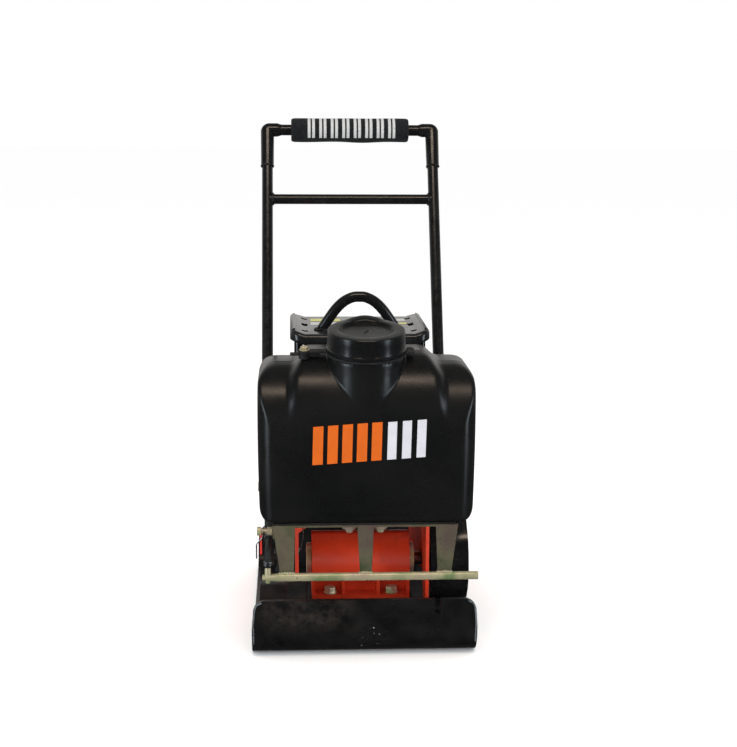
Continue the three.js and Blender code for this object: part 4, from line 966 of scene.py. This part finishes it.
def make_grip():
    """The foam sleeve: swollen as cloth, worn by hand, then set on the handle's grip bar."""
    piece = bare_piece("grip_foam", foam_shape())
    start, move = swell(piece, 4.0, 4.0, FOAM_GROWTH)
    tube = np.hypot(start[:, 1], start[:, 2]) < (HANDLE_TUBE + 4) * MM
    move[tube] = 0
    move[:, 0] *= 0.2
    set_vertices(piece.data, start + move)
    points = vertices_of(piece.data) / MM
    set_vertices(piece.data, shaped_foam(points) * MM)
    detail = piece.modifiers.new("detail", "SUBSURF")
    detail.levels = 1
    detail.render_levels = 1
    apply_modifiers(piece)
    place = Matrix.Translation(HANDLE_AT.translation * MM) @ HANDLE_AT.to_3x3().to_4x4()
    place = place @ Matrix.Translation((0, 0, HANDLE_LENGTH * MM))
    piece.data.transform(place)
    piece.data.shade_smooth()
    piece.data.materials.clear()
    piece.data.materials.append(foam_finish())
    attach(piece, "handle")
    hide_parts("grip_pad")


def shaped_foam(points):
    """Adds what the foam has taken on in use: a sagging lower edge, soft dents and rounded ends."""
    x = points[:, 0]
    out = np.hypot(points[:, 1], points[:, 2])
    angle = np.arctan2(points[:, 2], points[:, 1])
    skin = np.clip((out - 16) / 7, 0, 1)
    under = np.exp(-(((angle + math.pi / 2) / 0.5) ** 2))
    sag = under * (1.1 * np.sin(x / 17.0 + 0.6) + 0.9 * np.sin(x / 31.0) + 0.9 * np.cos(x / GRIP_HALF * 1.4))
    dents = 0.35 * np.sin(x / 23.0 + 2 * angle) * np.cos(x / 41.0 - angle)
    ends = -1.2 * np.clip((np.abs(x) - GRIP_HALF + 5) / 5, 0, 1) ** 2
    grown = np.minimum(out + skin * (sag + dents + ends), GRIP_RADIUS + 1.0)
    scale = grown / np.maximum(out, 1e-6)
    shaped = points.copy()
    shaped[:, 1] *= scale
    shaped[:, 2] *= scale
    return shaped


make_grip()

# ---------------------------------------------------------------- lifting arch and tray
ARCH_FOOT_Z = 520.3
ARCH_HALF = 68
ARCH_RISE = 60


def arch_route():
    """The bowed bar's middle line: straight legs that lean in to a broad round top."""
    rows = [(-1, 0), (-0.81, 0.32), (-0.62, 0.62), (-0.41, 0.85), (-0.18, 0.98), (0, 1)]
    rows += [(-a, h) for a, h in reversed(rows[:-1])]
    knots = [Vector((a * ARCH_HALF, 0, 520 + h * ARCH_RISE)) for a, h in rows]
    route = []
    for i in range(len(knots) - 1):
        before = knots[max(i - 1, 0)]
        after = knots[min(i + 2, len(knots) - 1)]
        for step in range(6):
            route.append(catmull(before, knots[i], knots[i + 1], after, step / 6))
    return [*route, knots[-1]]


def catmull(a, b, c, d, t):
    """A point between b and c on a smooth curve through all four."""
    return 0.5 * (2 * b + (c - a) * t + (2 * a - 5 * b + 4 * c - d) * t**2 + (3 * b - a - 3 * c + d) * t**3)


def make_arch():
    route = [point for point in arch_route() if point.z > ARCH_FOOT_Z]
    start = Vector((-ARCH_HALF - 0.5, 0, ARCH_FOOT_Z))
    end = Vector((ARCH_HALF + 0.5, 0, ARCH_FOOT_Z))
    shape = Shape().tube([start, *route, end], 9.5, 32)
    arch = piece_from("lifting_bar", shape, FINISHES["gloss_black"], "chassis", 50)
    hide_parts("lifting_arch")
    beads = Shape()
    for index, x in enumerate((-ARCH_HALF, ARCH_HALF)):
        beads.add(weld_bead(around((x, 0, ARCH_FOOT_Z + 1.2), (0, 0, 1), 10.6), 2.2, 30 + index))
    piece_from("arch_welds", beads, FINISHES["gloss_black"], "chassis", 60)


TRAY_HALF = 124
TRAY_FRONT = -59
TRAY_BACK = 186
TRAY_TOP = 520
TRAY_FOLD = 97
TRAY_RISE = 9
TRAY_CORNER = 22
TRAY_SHEET = 2.6


def tray_ring(inset, drop):
    """Pairs of points, front and back, round the tray: inset from its outline, drop below its top."""
    bend = [TRAY_CORNER - TRAY_CORNER * math.cos(math.pi / 2 * i / 8) for i in range(9)]
    runs = [TRAY_HALF - step for step in bend] + [TRAY_FOLD + 0.6, TRAY_FOLD - 0.6, 60, 20]
    radius = max(TRAY_CORNER - inset, 0.5)
    pairs = []
    for x in [-run for run in runs] + list(reversed(runs)):
        wide = min(abs(x), TRAY_HALF - inset)
        past = max(0.0, wide - (TRAY_HALF - TRAY_CORNER))
        turn = TRAY_CORNER - math.sqrt(max(radius**2 - min(past, radius) ** 2, 0.0))
        rise = TRAY_RISE * max(0.0, (abs(x) - TRAY_FOLD) / (TRAY_HALF - TRAY_FOLD))
        height = TRAY_TOP + rise - drop
        side = math.copysign(wide, x)
        edge = inset if past == 0 else turn
        pairs.append(((side, TRAY_FRONT + edge, height), (side, TRAY_BACK - edge, height)))
    return pairs


def make_tray():
    """The guard's tray: a pressed sheet with raised wings, rolled edges and three slots along each fold."""
    roll = 9.0
    rows = []
    for i in range(9):
        angle = math.pi / 2 * i / 8
        rows.append((roll - roll * math.sin(angle), roll - roll * math.cos(angle)))
    rows += [(0, 14), (0, 18.4), (0.5, 19.4), (TRAY_SHEET, 19.6)]
    inner = roll - TRAY_SHEET
    for i in range(7):
        angle = math.pi / 2 * (1 - i / 6)
        rows.append((roll - inner * math.sin(angle), roll - inner * math.cos(angle)))
    rings = [tray_ring(inset, drop) for inset, drop in rows]
    loops = [[front for front, _ in ring] + [back for _, back in reversed(ring)] for ring in rings]
    shape = Shape().rings(loops)
    shape.faces = shape.faces[:-2]
    count = len(loops[0])
    for start, order in ((0, 1), ((len(loops) - 1) * count, -1)):
        for i in range(count // 2 - 1):
            face = (start + i, start + i + 1, start + count - 2 - i, start + count - 1 - i)
            shape.faces.append(face[::order])
    tray = piece_from("guard_top", shape, TRAY_FINISH, "chassis", 40)
    slots = Shape()
    middle = (TRAY_FRONT + TRAY_BACK) / 2
    for sign in (-1, 1):
        for y, reach in ((middle - 78, 8), (middle, 15), (middle + 78, 8)):
            x = sorted((sign * (TRAY_FOLD - 5), sign * (TRAY_FOLD + 6)))
            slots.add(slab(x, (y - reach, y + reach), (TRAY_TOP - 9, TRAY_TOP + 9)))
    cut_out(tray, slots)
    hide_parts("guard_tray")


def cut_out(piece, shape):
    """Takes the shape out of the piece."""
    cutter = bare_piece("cutter", shape)
    cut = piece.modifiers.new("cut", "BOOLEAN")
    cut.operation = "DIFFERENCE"
    cut.solver = "EXACT"
    cut.object = cutter
    apply_modifiers(piece)
    bpy.data.objects.remove(cutter)


def make_tray_labels():
    yellow = Shape()
    white = Shape()
    thin = (TRAY_TOP - 0.1, TRAY_TOP + 0.35)
    for x, yellow_y, white_y in (((-86, -30), (113, 143), (64, 97)), ((58, 92), (72, 90), (113, 140))):
        yellow.add(slab(x, yellow_y, thin))
        white.add(slab(x, white_y, thin))
    yellow_ink = printed("label_yellow", (0.50, 0.49, 0.16))
    white_ink = printed("label_white", (0.46, 0.47, 0.46))
    piece_from("tray_labels_yellow", yellow, yellow_ink, "chassis")
    piece_from("tray_labels_white", white, white_ink, "chassis")


make_arch()
make_tray()
make_tray_labels()

# ---------------------------------------------------------------- spray bar, welds and plumbing
SPRAY_Y = -282
SPRAY_Z = 149
SPRAY_RADIUS = 6.75
HOSE_X = -162


def make_spray_bar():
    """The bar with its squeezed end and hose barb, thin dark discs under it as painted shade for its spray
    openings, and the welds to its brackets.
    """
    route = [(x, SPRAY_Y, SPRAY_Z) for x in (-171, -170, -160, -152, -146, 186)]
    radii = [5.6, 6.2, 6.4, 6.6, SPRAY_RADIUS, SPRAY_RADIUS]
    flats = [0.72, 0.74, 0.8, 0.92, 1, 1]
    shape = Shape().tube(route, radii, 32, flats)
    barb = [(0, -9), (4.2, -9), (4.2, 2), (5.4, 2.5), (4.8, 7)]
    barb += [(5.4, 7.5), (4.8, 12), (5.2, 12.5), (4.4, 16.8), (0, 16.8)]
    shape.add(Shape().turned(barb, 32).moved(Matrix.Translation((HOSE_X, SPRAY_Y, SPRAY_Z))))
    bar = piece_from("spray_tube", shape, yellow_zinc("bar_zinc", 11), "chassis", 40)
    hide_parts("spray_bar")
    # Painted shade: thin dark discs on the bar's underside stand in for the spray openings, which are not cut.
    hole_shade_discs = Shape()
    tilt = Matrix.Rotation(math.radians(-28), 4, "X") @ Matrix.Translation((0, 0, -SPRAY_RADIUS - 0.3))
    for i in range(13):
        x = -132 + 23.5 * i
        hole_shade_disc = Shape().turned([(0, 0), (1.5, 0), (1.5, 0.5), (0, 0.5)], 16)
        hole_shade_disc.moved(Matrix.Translation((x, SPRAY_Y, SPRAY_Z)) @ tilt)
        hole_shade_discs.add(hole_shade_disc)
    piece_from("spray_hole_shade", hole_shade_discs, FINISHES["dark_plastic"], "chassis", 40)

    beads = Shape()
    for index, (left, right) in enumerate(((-142, -119), (-10, 10), (119, 142))):
        for row, y in enumerate((SPRAY_Y - 1.5, SPRAY_Y + 4.5)):
            middle = ((left + right) / 2, y, SPRAY_Z + 6.8)
            route = [(left - 2, y, SPRAY_Z + 5.6), middle, (right + 2, y, SPRAY_Z + 5.6)]
            beads.add(weld_bead(route, 3.0 - row * 0.5, 40 + 2 * index + row))
    piece_from("bracket_welds", beads, yellow_zinc("weld_zinc", 60), "chassis", 70)


def make_plumbing():
    """The clamp on the hose, and the nuts that hold the tank to its bracket."""
    band = [(5.6, -3.5), (6.6, -3.5), (6.9, -3.1), (6.9, 3.1), (6.6, 3.5), (5.6, 3.5)]
    clamp = Shape().turned(band, 32).moved(Matrix.Translation((HOSE_X, SPRAY_Y, SPRAY_Z + 24)))
    clamp.add(slab((-159.5, -152.5), (SPRAY_Y - 4, SPRAY_Y + 1), (SPRAY_Z + 21.5, SPRAY_Z + 26.5)))
    made = piece_from("hose_clamp", clamp, bare_steel("clamp_steel"), "chassis")
    soften(made, 0.3)
    nuts = Shape()
    for x in (-26, 26):
        nut = Shape().turned([(0, 219), (10.8, 219), (12.2, 220.5), (12.2, 227.6), (0, 227.6)], 6)
        thread = Shape().turned([(0, 213), (5, 213), (6, 214), (6, 219.2), (0, 219.2)], 24)
        nuts.add(nut.add(thread).moved(Matrix.Translation((x, -240, 0))))
    made = piece_from("tank_nuts", nuts, FINISHES["yellow_zinc"], "chassis")
    soften(made, 0.5)


def make_pin_wire():
    """The wire clip through the retaining pin, and the short lanyard beside the deck."""
    eye = around((-168, -250, 219), (1, 0, 0), 5.7, turns=0.8, steps=30, start=2.2)
    tail = rounded_route([eye[-1], (-171, -252, 208), (-181, -250, 197), (-181, -250, 172)], 5, 8)
    clip = Shape().tube([*eye[:-1], *tail], 1.2, 12)
    wire = piece_from("clip_wire", clip, bare_steel("wire_steel"), "wire_pin", 60)
    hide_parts("hairpin")
    bends = [(-103, -246, 228), (-104, -247, 205), (-107, -246, 188), (-112, -243, 178)]
    route = rounded_route(bends, 14, 8)
    crimp = plain_bar((-107.3, -245.8, 187.5), (-109.8, -244.3, 182.3), 2.4, 16)
    shape = Shape().tube(route, 0.9, 10).add(crimp)
    piece_from("lanyard", shape, FINISHES["bare_steel"], "chassis", 60)


make_spray_bar()
make_plumbing()
make_pin_wire()

# ---------------------------------------------------------------- base plate's rims and the ramp's weld
def make_base_details():
    """Thin rims along the front lip's ends, coloured with a painted highlight, and the weld between the lip
    and its ramp.
    """
    rims = Shape()
    for sign in (-1, 1):
        x = sign * 185.2
        outer = sign * 187.2
        route = [(x - sign * 12, -265.4, 99.2), (x - sign * 3.5, -265.2, 94)]
        route += [(x, -264.8, 84), (outer, -263.2, 60), (outer, -261, 45), (outer, -255, 24)]
        smooth = [Vector(route[0])]
        for i in range(len(route) - 1):
            before = Vector(route[max(i - 1, 0)])
            after = Vector(route[min(i + 2, len(route) - 1)])
            for step in range(1, 9):
                smooth.append(catmull(before, Vector(route[i]), Vector(route[i + 1]), after, step / 8))
        rims.add(Shape().tube(smooth, 1.2, 12))
    # The rims carry a painted highlight: light blue-grey streaks for the windows' reflection on the lip's
    # rounded edges.
    piece_from("lip_rims", rims, painted_edge_glint(), "chassis", 60)
    foot = [(-176, -237, 84), (-165, -237.2, 82.5), (-150, -237, 83.2)]
    foot += [(-130, -237.3, 81.6), (-112, -237, 82.8), (-98, -237, 82)]
    bead = weld_bead(foot, 3.4, 71)
    piece_from("ramp_weld", bead, FINISHES["dusty_black"], "chassis", 70)


make_base_details()

# ---------------------------------------------------------------- floor, light and surroundings


def make_floor():
    sides = 64
    mesh = bpy.data.meshes.new("floor")
    mesh.from_pydata(circle(40, 0, sides), [], [tuple(range(sides))])
    floor = linked("floor", mesh)
    pale = Finish("floor", roughness=0.8, specular=0.0)
    pale.set("Base Color", pale.blend(pale.noise(3), (0.985, 0.985, 0.985), (0.995, 0.995, 0.995)))
    mesh.materials.append(pale.material)
    floor.visible_glossy = False


def make_lamp(name, at, aim, size, power, colour, mirrored=True):
    """A rectangular soft light. One that isn't mirrored lights the object but doesn't show in its gloss."""
    data = bpy.data.lights.new(name, "AREA")
    data.shape = "RECTANGLE"
    data.size, data.size_y = size
    data.energy = power
    data.color = colour
    lamp = linked(name, data)
    facing = (Vector(aim) - Vector(at)).to_track_quat("-Z", "Y")
    lamp.matrix_world = Matrix.Translation(at) @ facing.to_matrix().to_4x4()
    lamp.visible_glossy = mirrored


def make_surroundings():
    """A white room; in the object's gloss it is dim in front and bright low down behind, as in a hall."""
    world = bpy.data.worlds.new("studio")
    scene.world = world
    world.use_nodes = True
    tree = world.node_tree
    tree.nodes.clear()

    def node(kind, **sockets):
        made = tree.nodes.new(kind)
        for name, value in sockets.items():
            socket = made.inputs[name.replace("_", " ")]
            if isinstance(value, bpy.types.NodeSocket):
                tree.links.new(value, socket)
            else:
                socket.default_value = value
        return made

    def ramp(axis, limits, values):
        """A strength that goes from one value to the other between two limits of the view's axis."""
        return node(
            "ShaderNodeMapRange",
            Value=axes.outputs[axis],
            From_Min=limits[0],
            From_Max=limits[1],
            To_Min=values[0],
            To_Max=values[1],
        ).outputs[0]

    def times(first, second):
        made = tree.nodes.new("ShaderNodeMath")
        made.operation = "MULTIPLY"
        tree.links.new(first, made.inputs[0])
        tree.links.new(second, made.inputs[1])
        return made.outputs[0]

    axes = node("ShaderNodeSeparateXYZ", Vector=node("ShaderNodeTexCoord").outputs["Generated"])
    behind = ramp("Y", (0.0, 0.9), (0.03, 0.75))
    level = ramp("Z", (-0.2, 0.05), (0.1, 1.0))
    high = ramp("Z", (0.3, 0.7), (1.0, 0.25))
    hall = node("ShaderNodeBackground", Color=(1.0, 0.98, 0.95, 1), Strength=times(behind, times(level, high)))
    white = node("ShaderNodeBackground", Color=(1, 1, 1, 1), Strength=1.0)
    mix = tree.nodes.new("ShaderNodeMixShader")
    tree.links.new(tree.nodes.new("ShaderNodeLightPath").outputs["Is Glossy Ray"], mix.inputs[0])
    tree.links.new(white.outputs[0], mix.inputs[1])
    tree.links.new(hall.outputs[0], mix.inputs[2])
    output = tree.nodes.new("ShaderNodeOutputWorld")
    tree.links.new(mix.outputs[0], output.inputs[0])


make_floor()
make_surroundings()
make_lamp("overhead", (0.1, -0.7, 3.2), (0, -0.1, 0.3), (2.6, 2.2), 24, (1.0, 0.97, 0.93), mirrored=False)
make_lamp("fill", (-0.4, -2.9, 0.55), (0, -0.1, 0.3), (1.6, 0.9), 20, (1.0, 0.97, 0.94), mirrored=False)
make_lamp("ceiling", (0, -1.35, 3.0), (0, -0.15, 0.45), (1.7, 0.5), 19, (1.0, 0.80, 0.62))
make_lamp("window_left", (-2.5, -1.6, 0.75), (0, -0.2, 0.45), (0.8, 1.9), 32, (0.80, 0.92, 1.0))
make_lamp("window_right", (2.5, -1.6, 0.75), (0, -0.2, 0.45), (0.7, 1.9), 28, (0.80, 0.92, 1.0))

scene.view_settings.view_transform = "Standard"
